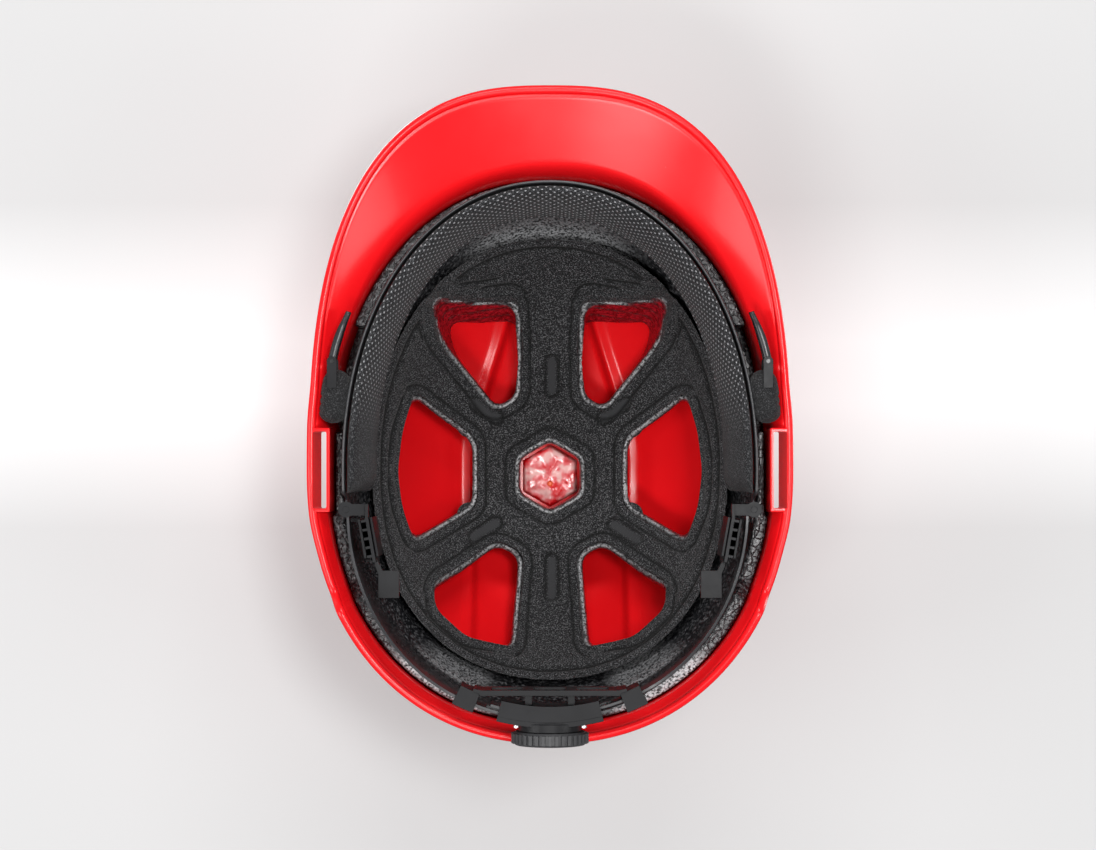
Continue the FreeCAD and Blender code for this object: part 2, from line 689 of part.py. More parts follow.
def strap_keeper():
    """A loop at the +X end of the cradle that the rack strap slides through."""
    inner = INNER_STRAP_RADIUS - 2.9
    outer = OUTER_STRAP_RADIUS + STRAP_THICKNESS + 2.6
    loop = arc_block(inner, outer, KEEPER_ANGLE - 4, KEEPER_ANGLE + 2, REAR_Z - 11.4, REAR_Z + 11.4)
    hole = arc_block(inner + 1.5, outer - 1.5, KEEPER_ANGLE - 8, KEEPER_ANGLE + 6, REAR_Z - 9.4, REAR_Z + 9.4)
    return loop.cut(hole)


# ---------------------------------------------------------------- side hardware, +X side


def turned_rail(shape):
    """The rail and its blade follow the curve of the band."""
    shape.rotate(V(RAIL_INNER_X, RAIL_START_Y, 0), V(0, 0, 1), RAIL_TURN)
    return shape


def height_rail():
    """Two upright walls under a roof, on a bracket that joins the end of the front band."""
    outer_x = RAIL_INNER_X + RAIL_DEPTH
    end_y = RAIL_START_Y + RAIL_LENGTH
    inner_wall = box((RAIL_INNER_X, RAIL_START_Y, RAIL_BOTTOM), (RAIL_INNER_X + 1.1, end_y, RAIL_TOP))
    outer_wall = box((outer_x - 1.1, RAIL_START_Y, RAIL_BOTTOM), (outer_x, end_y, RAIL_TOP))
    roof = box((RAIL_INNER_X, RAIL_START_Y, RAIL_TOP - 1.5), (outer_x, end_y, RAIL_TOP + 1.5))
    bridge = box((outer_x - 1.1, RAIL_START_Y + 0.8, 12.5), (HINGE_X - 0.35, RAIL_START_Y + 2.6, RAIL_TOP - 3))
    return turned_rail(inner_wall.fuse([outer_wall, roof])).fuse(bridge)


def side_slider():
    """A ribbed blade in the rail, with a foot that carries the strap's pivot."""
    inner_x = RAIL_INNER_X + 1.5
    outer_x = inner_x + 1.4
    low = RAIL_BOTTOM - 3.0
    high = RAIL_TOP - 6.0
    foot_top = STRAP_FRONT_Z - STRAP_FRONT_HEIGHT / 2 - 0.2
    foot_low = foot_top - 2.4
    foot_y = RAIL_START_Y - 6.0
    start_y = RAIL_START_Y + 0.5
    end_y = RAIL_START_Y + RAIL_LENGTH
    blade = box((inner_x, start_y, low), (outer_x, end_y + 2.4, high))
    ribs = [box((outer_x - 0.1, y, low), (outer_x + 2.2, y + 1.2, high))
            for y in spread(start_y, end_y - 1.2, RUNG_COUNT)]
    ladder = turned_rail(blade.fuse(ribs))
    heel = box((inner_x, foot_y, low), (outer_x, RAIL_START_Y + 2, foot_top))
    arm = box((inner_x, foot_y, foot_low), (HINGE_X, RAIL_START_Y - 0.7, foot_top))
    lug = Part.makeCylinder(EYELET_RADIUS + 0.4, foot_top - foot_low, V(HINGE_X, RING_Y, foot_low))
    bore = Part.makeCylinder(PIVOT_RADIUS, 40, V(HINGE_X, RING_Y, -30))
    return ladder.fuse([heel, arm, lug]).cut(bore)


def side_tab():
    """A finger tab clipped to the end of the slider's blade."""
    end_y = RAIL_START_Y + RAIL_LENGTH
    tab_inner_x = TAB_OUTER_X - TAB_WIDTH
    tab_outline = [
        V(TAB_OUTER_X + 0.8, end_y + 0.8, TAB_BOTTOM),
        V(TAB_OUTER_X + 2.2, end_y + 0.8, TAB_BOTTOM),
        V(TAB_OUTER_X + 1.4, end_y + 4.5, TAB_BOTTOM),
        V(TAB_OUTER_X, TAB_START_Y + 1.5, TAB_BOTTOM),
        V(TAB_OUTER_X, TAB_END_Y, TAB_BOTTOM),
        V(tab_inner_x, TAB_END_Y, TAB_BOTTOM),
        V(tab_inner_x, TAB_START_Y, TAB_BOTTOM),
        V(TAB_OUTER_X - 2, TAB_START_Y, TAB_BOTTOM),
    ]
    tab = Part.Face(Part.makePolygon(tab_outline + tab_outline[:1])).extrude(V(0, 0, TAB_THICKNESS))
    return tab.cut(side_slider())


def strap_pivot_pin():
    low = STRAP_FRONT_Z - STRAP_FRONT_HEIGHT / 2 - 2.6
    top = STRAP_FRONT_Z + STRAP_FRONT_HEIGHT / 2 + 0.4
    shank = Part.makeCylinder(PIVOT_RADIUS, top - low, V(HINGE_X, RING_Y, low))
    head = Part.makeCylinder(PIVOT_RADIUS + 1.2, 1.0, V(HINGE_X, RING_Y, top))
    return shank.fuse(head)


def suspension_block():
    """A soft roll between the headband and the shell, moulded round the latch's yoke."""
    ends = [Part.makeSphere(BLOCK_RADIUS, place) for place in (BLOCK_START, BLOCK_END)]
    return rod(BLOCK_START, BLOCK_END, BLOCK_RADIUS).fuse(ends).cut(latch_yoke())


def latch_yoke():
    """Two small plates above and below the latch, joined inside the soft roll."""
    half = 2.2
    low_x = LATCH_PIVOT.x - half
    high_x = LATCH_PIVOT.x + half
    root_y = BLOCK_START.y + 3
    top = box((low_x, LATCH_PIVOT.y, LATCH_TOP + 0.3), (high_x, root_y, LATCH_TOP + 1.5))
    bottom = box((low_x, LATCH_PIVOT.y, LATCH_BOTTOM - 1.5), (high_x, root_y, LATCH_BOTTOM - 0.3))
    web = box((low_x, root_y - 1.5, LATCH_BOTTOM - 1.5), (high_x, root_y, LATCH_TOP + 1.5))
    rounds = [Part.makeCylinder(half, 1.2, V(LATCH_PIVOT.x, LATCH_PIVOT.y, z))
              for z in (LATCH_TOP + 0.3, LATCH_BOTTOM - 1.5)]
    bore = Part.makeCylinder(LATCH_PIN_RADIUS, 20, LATCH_PIVOT + V(0, 0, LATCH_BOTTOM - 5))
    return top.fuse([bottom, web, *rounds]).cut(bore)


def latch_pin():
    low = LATCH_PIVOT + V(0, 0, LATCH_BOTTOM - 1.6)
    return Part.makeCylinder(LATCH_PIN_RADIUS, LATCH_TOP - LATCH_BOTTOM + 3.2, low)


def suspension_latch():
    """A slim finger, hinged in front of the block, whose tip points forward."""
    along = (LATCH_TIP - LATCH_PIVOT).normalize()
    across = V(-along.y, along.x, 0)
    height = LATCH_TOP - LATCH_BOTTOM
    outline = [
        LATCH_PIVOT + across * 2.0,
        LATCH_PIVOT + along * 12 + across * 2.9,
        LATCH_TIP + across * 0.9,
        LATCH_TIP - across * 1.3,
        LATCH_PIVOT + along * 12 - across * 1.2,
        LATCH_PIVOT - across * 2.0,
    ]
    finger = Part.Face(Part.makePolygon(outline + outline[:1])).extrude(V(0, 0, height))
    knuckle = Part.makeCylinder(2.3, height, LATCH_PIVOT)
    bore = Part.makeCylinder(LATCH_PIN_RADIUS + RUNNING_GAP, height + 2, LATCH_PIVOT - V(0, 0, 1))
    latch = finger.fuse(knuckle).cut(bore)
    latch.translate(V(0, 0, LATCH_BOTTOM))
    return latch


def pad_fasteners():
    """Round hook pads that hold the crown pad to the liner's spokes."""
    discs = []
    for degrees in (0, 60, 120, 180, 240, 300):
        angle = math.radians(degrees)
        discs.append(fastener_disc(angle, 46.0))
    return Part.makeCompound(discs)


def fastener_disc(angle, distance):
    """A disc in the liner's head side, square to its surface."""
    profile = dome_profile(angle)
    face = sunk(profile, liner_depths(angle, profile))
    for low, high in zip(face, face[1:]):
        if high[0] <= distance <= low[0]:
            share = (low[0] - distance) / (low[0] - high[0])
            height = low[1] + (high[1] - low[1]) * share
            slope = V(low[0] - high[0], 0, high[1] - low[1])
            place = polar_point(angle, distance, height)
            outward = V(slope.z * math.sin(angle), -slope.z * math.cos(angle), slope.x).normalize()
            return Part.makeCylinder(FASTENER_RADIUS, FASTENER_THICKNESS, place - outward * 0.2, outward)
    return None


def both_sides(name, shape):
    return {f"{name}_left": shape, f"{name}_right": mirrored(shape)}


def build():
    discs = pad_fasteners()
    nodes = {
        "outer_shell": outer_shell(),
        "eps_liner": eps_liner().cut(discs),
        "crown_pad": crown_pad().cut(discs),
        "pad_fasteners": discs,
        "headband_front": headband_front(),
        "brow_pad": brow_pad(),
        "ratchet_housing": ratchet_housing(),
        "ratchet_cover": ratchet_cover(),
        "housing_screws": housing_screws(),
        "nape_cradle": nape_cradle(),
        "adjuster_knob": adjuster_knob(),
        "pinion_gear": pinion_gear(),
        "click_spring": click_spring(),
        "axle_screw": axle_screw(),
        "rack_strap_left": rack_strap(INNER_STRAP_RADIUS, 1),
        "rack_strap_right": mirrored(rack_strap(OUTER_STRAP_RADIUS, -1)),
    }
    nodes.update(both_sides("strap_keeper", strap_keeper()))
    nodes.update(both_sides("height_rail", height_rail()))
    nodes.update(both_sides("side_slider", side_slider()))
    nodes.update(both_sides("side_tab", side_tab()))
    nodes.update(both_sides("strap_pivot_pin", strap_pivot_pin()))
    nodes.update(both_sides("suspension_block", suspension_block()))
    nodes.update(both_sides("latch_yoke", latch_yoke()))
    nodes.update(both_sides("latch_pin", latch_pin()))
    nodes.update(both_sides("suspension_latch", suspension_latch()))
    return nodes


def main():
    os.makedirs("parts", exist_ok=True)
    for name, shape in build().items():
        placed = shape.copy()
        placed.translate(BASE_SHIFT)
        placed.exportStep(f"parts/{name}.step")
        print(name, "valid" if placed.isValid() else "NOT VALID", len(placed.Solids), round(placed.Volume))


main()
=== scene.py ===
"""The looks of an arborist helmet, built on its CAD frame.

Shapes are worked out in millimetres about the middle of the rim plane, as the CAD part's are, and
placed in the frame in metres by to_frame().
"""
import json
import math

import bmesh
import bpy
import numpy as np
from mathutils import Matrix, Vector, noise
from mathutils.kdtree import KDTree


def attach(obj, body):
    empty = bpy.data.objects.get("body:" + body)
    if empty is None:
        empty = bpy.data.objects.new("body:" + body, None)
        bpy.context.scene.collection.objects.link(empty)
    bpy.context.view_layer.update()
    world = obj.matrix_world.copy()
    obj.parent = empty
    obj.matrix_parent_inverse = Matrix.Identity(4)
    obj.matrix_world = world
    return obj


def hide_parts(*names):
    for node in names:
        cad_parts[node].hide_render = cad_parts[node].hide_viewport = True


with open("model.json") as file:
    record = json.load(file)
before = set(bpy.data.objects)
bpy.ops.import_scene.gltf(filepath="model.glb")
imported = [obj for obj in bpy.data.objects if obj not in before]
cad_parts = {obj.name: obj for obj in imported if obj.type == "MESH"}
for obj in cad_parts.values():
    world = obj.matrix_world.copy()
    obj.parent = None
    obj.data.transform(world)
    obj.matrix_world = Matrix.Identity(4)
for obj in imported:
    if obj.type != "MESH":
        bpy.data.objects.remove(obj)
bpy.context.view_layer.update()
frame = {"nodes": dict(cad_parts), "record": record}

MM = 0.001
BASE_SHIFT = np.array([0.0, 26.25, 47.3])

# Outer shell, in millimetres
RIM_HALF_WIDTH = 110.6
PEAK_REACH = 177.0
RIM_REAR = 124.5
DOME_HALF_WIDTH = 105.5
DOME_FRONT = 138.5
DOME_REAR = 119.5
OUTLINE_POWER = 2.15
PEAK_POWER = 2.65
SLOT_BULGE = 0.9
DOME_POWER = 2.25
CROWN_HEIGHT = 148.0
SHELL_WALL = 2.6
SKIRT_HEIGHT = 10.0
PEAK_EDGE_RISE = 6.0
PEAK_ROOT_RISE = 6.0
NAPE_DROP = 10.0
NAPE_STEP_Y = (56.0, 66.0)
CREST_LIFT = 2.6
CREST_HALF_WIDTH = 45.0
CREST_FRONT_HALF_WIDTH = 24.0
LEDGE_WIDTH = 5.2
LEDGE_SLOPE = 0.5
LEDGE_RISE_WIDTH = 3.5
CREST_FADE_HEIGHT = (45.0, 85.0)
SLOT_INNER_X = 102.3
SLOT_OUTER_X = 108.2
SLOT_HALF_LENGTH = 17.7
SLOT_WALL = 2.8
SLOT_OUTER_WALL = 1.2
SLOT_END_WALL = 1.6
SLOT_BLOCK = (-0.8, 22.0)
SLOT_BACK_HEIGHT = 40.0

# Liner and crown pad
LINER_GAP = 0.8
LINER_CROWN_THICKNESS = 20.0
LINER_FULL_FROM = 36.0
LINER_BAND_GAP = 0.8
LINER_REAR = 112.7
FRONT_LEAN = -0.3
SIDE_LEAN = 0.12
REAR_LEAN = 0.2
WINDOW_HEIGHTS = (40.0, 160.0)
WINDOW_REFERENCE = 88.0
FRONT_WINDOW = [(18.6, -86.7, FRONT_LEAN), (54.9, -80.4, FRONT_LEAN), (54.4, -66.2, FRONT_LEAN),
                (27.0, -31.9, 0), (17.6, -37.2, 0)]
SIDE_WINDOW = [(67.1, -36.0, SIDE_LEAN), (72.6, -19.0, SIDE_LEAN), (75.0, 0.5, SIDE_LEAN),
               (72.8, 18.2, SIDE_LEAN), (67.1, 33.8, SIDE_LEAN),
               (39.0, 16.9, 0), (39.2, -14.5, 0)]
REAR_WINDOW = [(26.5, 38.0, 0), (57.8, 58.8, REAR_LEAN), (57.8, 69.6, REAR_LEAN), (42.0, 84.0, REAR_LEAN),
               (19.6, 88.2, REAR_LEAN), (16.0, 43.6, 0)]
CROWN_HOLE_Y = 3.0
CROWN_HOLE_RADIUS = 17.4
BOSS_RADIUS = 16.0
BOSS_DEPTH = 2.7
GATE_OFFSET = 4.0
LATCH_ROOM_FRONT = -66.5
LIP_RISE = 0.9
NEIGHBOURS = 3
PAD_GAP = 0.3
PAD_THICKNESS = 5.0
PAD_HALF_WIDTH = 85.0
PAD_FRONT = 112.0
PAD_REAR = 100.0
PAD_WINDOW_MARGINS = (2.8, 0.5)

# Headband and brow pad
BAND_HALF_WIDTH = 95.3
BAND_FRONT = 132.6
BAND_POWER = 2.1
BAND_THICKNESS = 1.3
BAND_HEIGHTS = (-2.0, 24.0)
BROW_PAD_END_ANGLE = 96.5
BROW_PAD_HEIGHTS = (-3.5, 33.0)
BROW_PAD_LEAN = 8.5
BROW_PAD_THICKNESS = 7.5
BROW_PAD_GAP = 0.6

# Suspension roll and latch, +X side
BLOCK_START = Vector((97.6, -40.4, 1.2))
BLOCK_END = Vector((99.5, -27.0, 1.2))
BLOCK_RADIUS = 5.6
ROLL_SWELL = 1.14
LATCH_PIVOT = Vector((99.4, -49.6, 0.0))
LATCH_TIP = Vector((92.0, -72.3, 0.0))
LATCH_HEIGHTS = (-5.0, 3.5)


# ---------------------------------------------------------------- mesh helpers


def to_frame(points):
    return (np.asarray(points, float).reshape(-1, 3) + BASE_SHIFT) * MM


def smooth_step(value, start, end):
    share = np.clip((np.asarray(value, float) - start) / (end - start), 0, 1)
    return share * share * (3 - 2 * share)


def new_object(name, points, faces, smooth=True):
    """A mesh object from points in millimetres about the middle of the rim plane."""
    mesh = bpy.data.meshes.new(name)
    mesh.from_pydata(to_frame(points).tolist(), [], [list(map(int, face)) for face in faces])
    mesh.polygons.foreach_set("use_smooth", [smooth] * len(mesh.polygons))
    mesh.update()
    obj = bpy.data.objects.new(name, mesh)
    bpy.context.scene.collection.objects.link(obj)
    return obj


def grid_faces(rows, columns, close_rows=False, close_columns=False):
    """Quads of a rows by columns grid of points, optionally joined end to start."""
    faces = []
    for i in range(rows if close_rows else rows - 1):
        for j in range(columns if close_columns else columns - 1):
            below = (i + 1) % rows
            right = (j + 1) % columns
            faces.append((i * columns + j, i * columns + right, below * columns + right, below * columns + j))
    return faces


def outward(obj):
    """Turns every face outwards."""
    work = bmesh.new()
    work.from_mesh(obj.data)
    bmesh.ops.recalc_face_normals(work, faces=work.faces)
    work.to_mesh(obj.data)
    work.free()


def baked(obj):
    """The object with its modifiers made part of its mesh."""
    bpy.context.view_layer.update()
    graph = bpy.context.evaluated_depsgraph_get()
    mesh = bpy.data.meshes.new_from_object(obj.evaluated_get(graph))
    old = obj.data
    obj.modifiers.clear()
    obj.data = mesh
    bpy.data.meshes.remove(old)
    return obj


def boolean(obj, tools, operation):
    """Adds, cuts or intersects with other objects, and removes them."""
    for tool in tools:
        outward(tool)
        modifier = obj.modifiers.new(operation, "BOOLEAN")
        modifier.operation = operation
        modifier.solver = "EXACT"
        modifier.object = tool
    baked(obj)
    for tool in tools:
        bpy.data.objects.remove(tool)
    return obj


def remeshed(obj, voxel_mm, smoothing):
    """An even mesh with softly rounded edges."""
    remesh = obj.modifiers.new("even", "REMESH")
    remesh.mode = "VOXEL"
    remesh.voxel_size = voxel_mm * MM
    remesh.use_smooth_shade = True
    relax = obj.modifiers.new("relax", "SMOOTH")
    relax.factor = 0.5
    relax.iterations = smoothing
    return baked(obj)


def mesh_points(obj):
    """Vertex positions in millimetres and their normals."""
    count = len(obj.data.vertices)
    places = np.zeros(count * 3)
    normals = np.zeros(count * 3)
    obj.data.vertices.foreach_get("co", places)
    obj.data.vertices.foreach_get("normal", normals)
    return places.reshape(-1, 3) / MM - BASE_SHIFT, normals.reshape(-1, 3)


def set_points(obj, points):
    obj.data.vertices.foreach_set("co", to_frame(points).ravel())
    obj.data.update()


def bevelled(obj, width_mm, segments=3):
    bevel = obj.modifiers.new("round", "BEVEL")
    bevel.width = width_mm * MM
    bevel.segments = segments
    bevel.limit_method = "ANGLE"
    bevel.angle_limit = math.radians(35)
    return baked(obj)


def block(name, low, high):
    corners = [(x, y, z) for x in (low[0], high[0]) for y in (low[1], high[1]) for z in (low[2], high[2])]
    faces = [(0, 1, 3, 2), (4, 6, 7, 5), (0, 4, 5, 1), (2, 3, 7, 6), (0, 2, 6, 4), (1, 5, 7, 3)]
    return new_object(name, corners, faces, smooth=False)


def prism(name, lower, upper):
    """A closed block between two outlines with the same number of points."""
    count = len(lower)
    sides = [(i, (i + 1) % count, count + (i + 1) % count, count + i) for i in range(count)]
    ends = [tuple(range(count))[::-1], tuple(range(count, 2 * count))]
    return new_object(name, list(lower) + list(upper), sides + ends, smooth=False)


def mirror_points(points):
    return [(-x, y, z) for x, y, z in points]


def rounded(outline, radius, steps=6):
    """A flat outline with its corners rounded, as (x, y) points."""
    result = []
    count = len(outline)
    for i in range(count):
        before = Vector(outline[i - 1])
        here = Vector(outline[i])
        after = Vector(outline[(i + 1) % count])
        back = before - here
        ahead = after - here
        reach = min(radius, back.length * 0.45, ahead.length * 0.45)
        first = here + back.normalized() * reach
        last = here + ahead.normalized() * reach
        for k in range(steps + 1):
            t = k / steps
            point = first * (1 - t) ** 2 + here * (2 * t * (1 - t)) + last * t ** 2
            result.append((point.x, point.y))
    return result


# ---------------------------------------------------------------- helmet shape


def polar_radius(angle, half_width, front, rear, power):
    length = np.where(np.cos(angle) > 0, front, rear)
    sideways = np.abs(np.sin(angle) / half_width) ** power
    return (sideways + np.abs(np.cos(angle) / length) ** power) ** (-1 / power)


def polar_points(angle, radius, height):
    angle, radius, height = np.broadcast_arrays(angle, radius, height)
    return np.stack([radius * np.sin(angle), -radius * np.cos(angle), height], axis=-1)


def rim_radius(angle):
    """The peak is squarer in outline than the rear, and the rim swells a little at the slots."""
    power = np.where(np.cos(angle) > 0, PEAK_POWER, OUTLINE_POWER)
    plain = polar_radius(angle, RIM_HALF_WIDTH, PEAK_REACH, RIM_REAR, power)
    beside = np.abs(plain * np.cos(angle))
    return plain + SLOT_BULGE * (1 - smooth_step(beside, 20.0, 42.0))


def foot_radius(angle):
    return polar_radius(angle, DOME_HALF_WIDTH, DOME_FRONT, DOME_REAR, OUTLINE_POWER)


def rim_height(angle):
    forward = np.maximum(np.cos(angle), 0)
    behind = smooth_step(-rim_radius(angle) * np.cos(angle), *NAPE_STEP_Y)
    return PEAK_EDGE_RISE * forward ** 2 - NAPE_DROP * behind


def base_height(angle):
    forward = np.maximum(np.cos(angle), 0)
    return rim_height(angle) + SKIRT_HEIGHT + PEAK_ROOT_RISE * forward ** 2


def dome(angle, level):
    """Radius and height of the dome's outside, level from 0 at the foot to 90 degrees at the crown."""
    power = 2 / DOME_POWER
    top = math.sin(math.radians(85.5)) ** power
    climb = np.sin(level) ** power / top
    base = base_height(angle)
    return foot_radius(angle) * np.cos(level) ** power, base + (CROWN_HEIGHT - base) * climb


def inward(radius, height, depth):
    """The section moved inwards, square to itself."""
    run = np.gradient(radius, axis=1)
    climb = np.gradient(height, axis=1)
    length = np.hypot(run, climb)
    return radius - depth * climb / length, height + depth * run / length


def crest_lift(points):
    """How far the raised panel along the top of the dome stands up, behind a narrow level ledge."""
    x, y, z = points[..., 0], points[..., 1], points[..., 2]
    half_width = CREST_HALF_WIDTH - (CREST_HALF_WIDTH - CREST_FRONT_HALF_WIDTH) * smooth_step(-y, 5.0, 100.0)
    inside = half_width - np.abs(x)
    ledge = -LEDGE_SLOPE * np.clip(inside, 0, LEDGE_WIDTH)
    climb = smooth_step(inside, LEDGE_WIDTH, LEDGE_WIDTH + LEDGE_RISE_WIDTH)
    fade = smooth_step(z, *CREST_FADE_HEIGHT)
    return (ledge * (1 - climb) + CREST_LIFT * climb) * fade


def lifted(points):
    lift = crest_lift(points)
    share = np.clip(points[..., 2], 0, None) / CROWN_HEIGHT
    moved = points.copy()
    moved[..., 1] *= 1 + lift * (1 - share) / DOME_FRONT
    moved[..., 2] += lift * np.sqrt(share)
    return moved


LEVELS = np.radians(np.concatenate([np.linspace(1.2, 40, 34), np.linspace(40.6, 89.4, 80)]))
RIM_BEAD = [(6.0, 0.0), (4.4, 0.0), (3.6, 0.1), (2.9, 0.45), (1.9, 0.75), (0.9, 0.55), (0.1, -0.1),
            (-0.25, -1.1), (-0.1, -2.1), (0.6, -2.95), (1.6, -3.35), (2.6, -3.15), (3.2, -2.7),
            (3.5, -2.2), (3.9, -2.15), (4.4, -2.5), (5.2, -2.6), (6.2, -2.6)]


def shell_section(turn):
    """Closed section of the shell for each angle: down the outside, round the bead and up the inside."""
    angle = turn[:, None]
    radius, height = dome(angle, LEVELS[::-1][None, :])
    inner_radius, inner_height = inward(radius, height, -SHELL_WALL)
    rim = rim_radius(angle)
    foot = foot_radius(angle)
    low = rim_height(angle)
    rise = base_height(angle) - low
    length = np.hypot(rim - foot, rise)
    along = ((foot - rim) / length, rise / length)
    across = (rise / length, (rim - foot) / length)
    bead = np.array(RIM_BEAD)
    bead_radius = rim + bead[None, :, 0] * along[0] + bead[None, :, 1] * across[0]
    bead_height = low + bead[None, :, 0] * along[1] + bead[None, :, 1] * across[1]
    steps = np.linspace(0.12, 0.92, 9)[None, :]
    start = np.minimum(6.4 / length, 0.55)
    share = start + (1 - start) * steps
    flare_radius = rim + (foot - rim) * share
    flare_height = low + rise * share
    under_radius = flare_radius - SHELL_WALL * across[0]
    under_height = flare_height - SHELL_WALL * across[1]
    outside = (np.concatenate([radius, flare_radius[:, ::-1]], 1),
               np.concatenate([height, flare_height[:, ::-1]], 1))
    inside = (np.concatenate([under_radius, inner_radius[:, ::-1]], 1),
              np.concatenate([under_height, inner_height[:, ::-1]], 1))
    section_radius = np.concatenate([outside[0], bead_radius, inside[0]], 1)
    section_height = np.concatenate([outside[1], bead_height, inside[1]], 1)
    return section_radius, section_height


def make_shell():
    turns = 360
    turn = np.linspace(0, 2 * math.pi, turns, endpoint=False)
    radius, height = shell_section(turn)
    points = lifted(polar_points(turn[:, None], radius, height))
    columns = points.shape[1]
    flat = points.reshape(-1, 3)
    outer_pole = points[:, 0].mean(axis=0)
    inner_pole = points[:, -1].mean(axis=0)
    faces = grid_faces(turns, columns, close_rows=True)
    last = len(flat)
    for i in range(turns):
        after = (i + 1) % turns
        faces.append((last, i * columns, after * columns))
        faces.append((last + 1, after * columns + columns - 1, i * columns + columns - 1))
    shell = new_object("shell", np.vstack([flat, outer_pole, inner_pole]), faces)
    outward(shell)
    for side in (1, -1):
        low_x = SLOT_INNER_X - SLOT_END_WALL
        high_x = SLOT_OUTER_X + SLOT_OUTER_WALL
        half = SLOT_HALF_LENGTH + SLOT_END_WALL
        frame_block = slot_block("slot_frame", side, (low_x, high_x), half, SLOT_BLOCK)
        back = slot_block("slot_back", side, (low_x, SLOT_INNER_X), half, (SLOT_BLOCK[0], SLOT_BACK_HEIGHT))
        boolean(shell, [frame_block, back], "UNION")
        opening = slot_opening("slot_room", side)
        boolean(shell, [opening], "DIFFERENCE")
    return shell


def slot_block(name, side, widths, half_length, heights):
    xs = sorted(side * x for x in widths)
    piece = block(name, (xs[0], -half_length, heights[0]), (xs[1], half_length, heights[1]))
    return bevelled(piece, 0.7, 3)


def slot_opening(name, side):
    """The slot's outer wall leans in towards the top."""
    low, high = -6.0, SLOT_BACK_HEIGHT + 20
    outlines = []
    for z, outer_x in ((low, SLOT_OUTER_X + 0.8), (high, SLOT_OUTER_X - 5.0)):
        outline = rounded([(SLOT_INNER_X, -SLOT_HALF_LENGTH), (outer_x, -SLOT_HALF_LENGTH),
                           (outer_x, SLOT_HALF_LENGTH), (SLOT_INNER_X, SLOT_HALF_LENGTH)], 1.2, 4)
        outlines.append([(side * x, y, z) for x, y in outline])
    return prism(name, *outlines)


# ---------------------------------------------------------------- liner and crown pad


def liner_depth(angle, height):
    back = SHELL_WALL + LINER_GAP
    band = polar_radius(angle, BAND_HALF_WIDTH, BAND_FRONT, LINER_REAR, BAND_POWER)
    edge = foot_radius(angle) - back - band - LINER_BAND_GAP
    share = np.clip(height - LINER_FULL_FROM, 0, None) / (CROWN_HEIGHT - LINER_FULL_FROM)
    return back + edge + (LINER_CROWN_THICKNESS - edge) * share ** 0.75


def liner_surface(turn, levels, extra):
    """Points of a surface a given distance inside the liner's head side."""
    radius, height = dome(turn[:, None], levels[None, :])
    radius, height = inward(radius, height, liner_depth(turn[:, None], height) + extra)
    return polar_points(turn[:, None], radius, height)


def closed_bowl(name, outer, inner):
    """A closed mesh between two surfaces whose rows turn all the way round."""
    turns, columns = outer.shape[:2]
    points = np.concatenate([outer[:, ::-1], inner], axis=1)
    width = columns * 2
    faces = grid_faces(turns, width, close_rows=True)
    last = turns * width
    for i in range(turns):
        after = (i + 1) % turns
        faces.append((last, i * width, after * width))
        faces.append((last + 1, after * width + width - 1, i * width + width - 1))
    poles = [points[:, 0].mean(axis=0), points[:, -1].mean(axis=0)]
    obj = new_object(name, np.vstack([points.reshape(-1, 3), *poles]), faces)
    outward(obj)
    return obj


def window_outline(corners, height, margins, radius):
    """A window's outline at a height, with one margin on its sides near the crown and one on the others."""
    rise = height - WINDOW_REFERENCE
    places = [Vector((x, y)) * (1 + lean * rise / math.hypot(x, y)) for x, y, lean in corners]
    sides = []
    for index, (place, corner) in enumerate(zip(places, corners)):
        after = (index + 1) % len(places)
        along = (places[after] - place).normalized()
        outer = corner[2] and corners[after][2]
        sides.append((place + Vector((along.y, -along.x)) * margins[1 if outer else 0], along))
    moved = []
    for index, (place, along) in enumerate(sides):
        before, back = sides[index - 1]
        gap = place - before
        share = (gap.x * along.y - gap.y * along.x) / (back.x * along.y - back.y * along.x)
        moved.append(before + back * share)
    return rounded(moved, radius)


def hexagon(radius):
    return [(radius * math.sin(math.radians(60 * i)), CROWN_HOLE_Y - radius * math.cos(math.radians(60 * i)))
            for i in range(6)]


def window_tools(margins, radius):
    tools = []
    for corners in (FRONT_WINDOW, SIDE_WINDOW, REAR_WINDOW):
        rings = [[(x, y, z) for x, y in window_outline(corners, z, margins, radius)] for z in WINDOW_HEIGHTS]
        tools.append(prism("window", *rings))
        tools.append(prism("window", *[mirror_points(ring) for ring in rings]))
    hole = rounded(hexagon(CROWN_HOLE_RADIUS + margins[0]), radius * 0.6)
    tools.append(prism("hole", *[[(x, y, z) for x, y in hole] for z in (0.0, WINDOW_HEIGHTS[1])]))
    return tools


WINDOW_RADIUS = 6.0
ROOM_LOW = -15
ROOM_OUTER_X = 125
SLOT_ROOM_HALF_LENGTH = 21.2
LATCH_ROOM_INNER_X = 84
LATCH_ROOM_REAR = -18
LATCH_ROOM_TOP = 34
LINER_VOXEL = 1.0


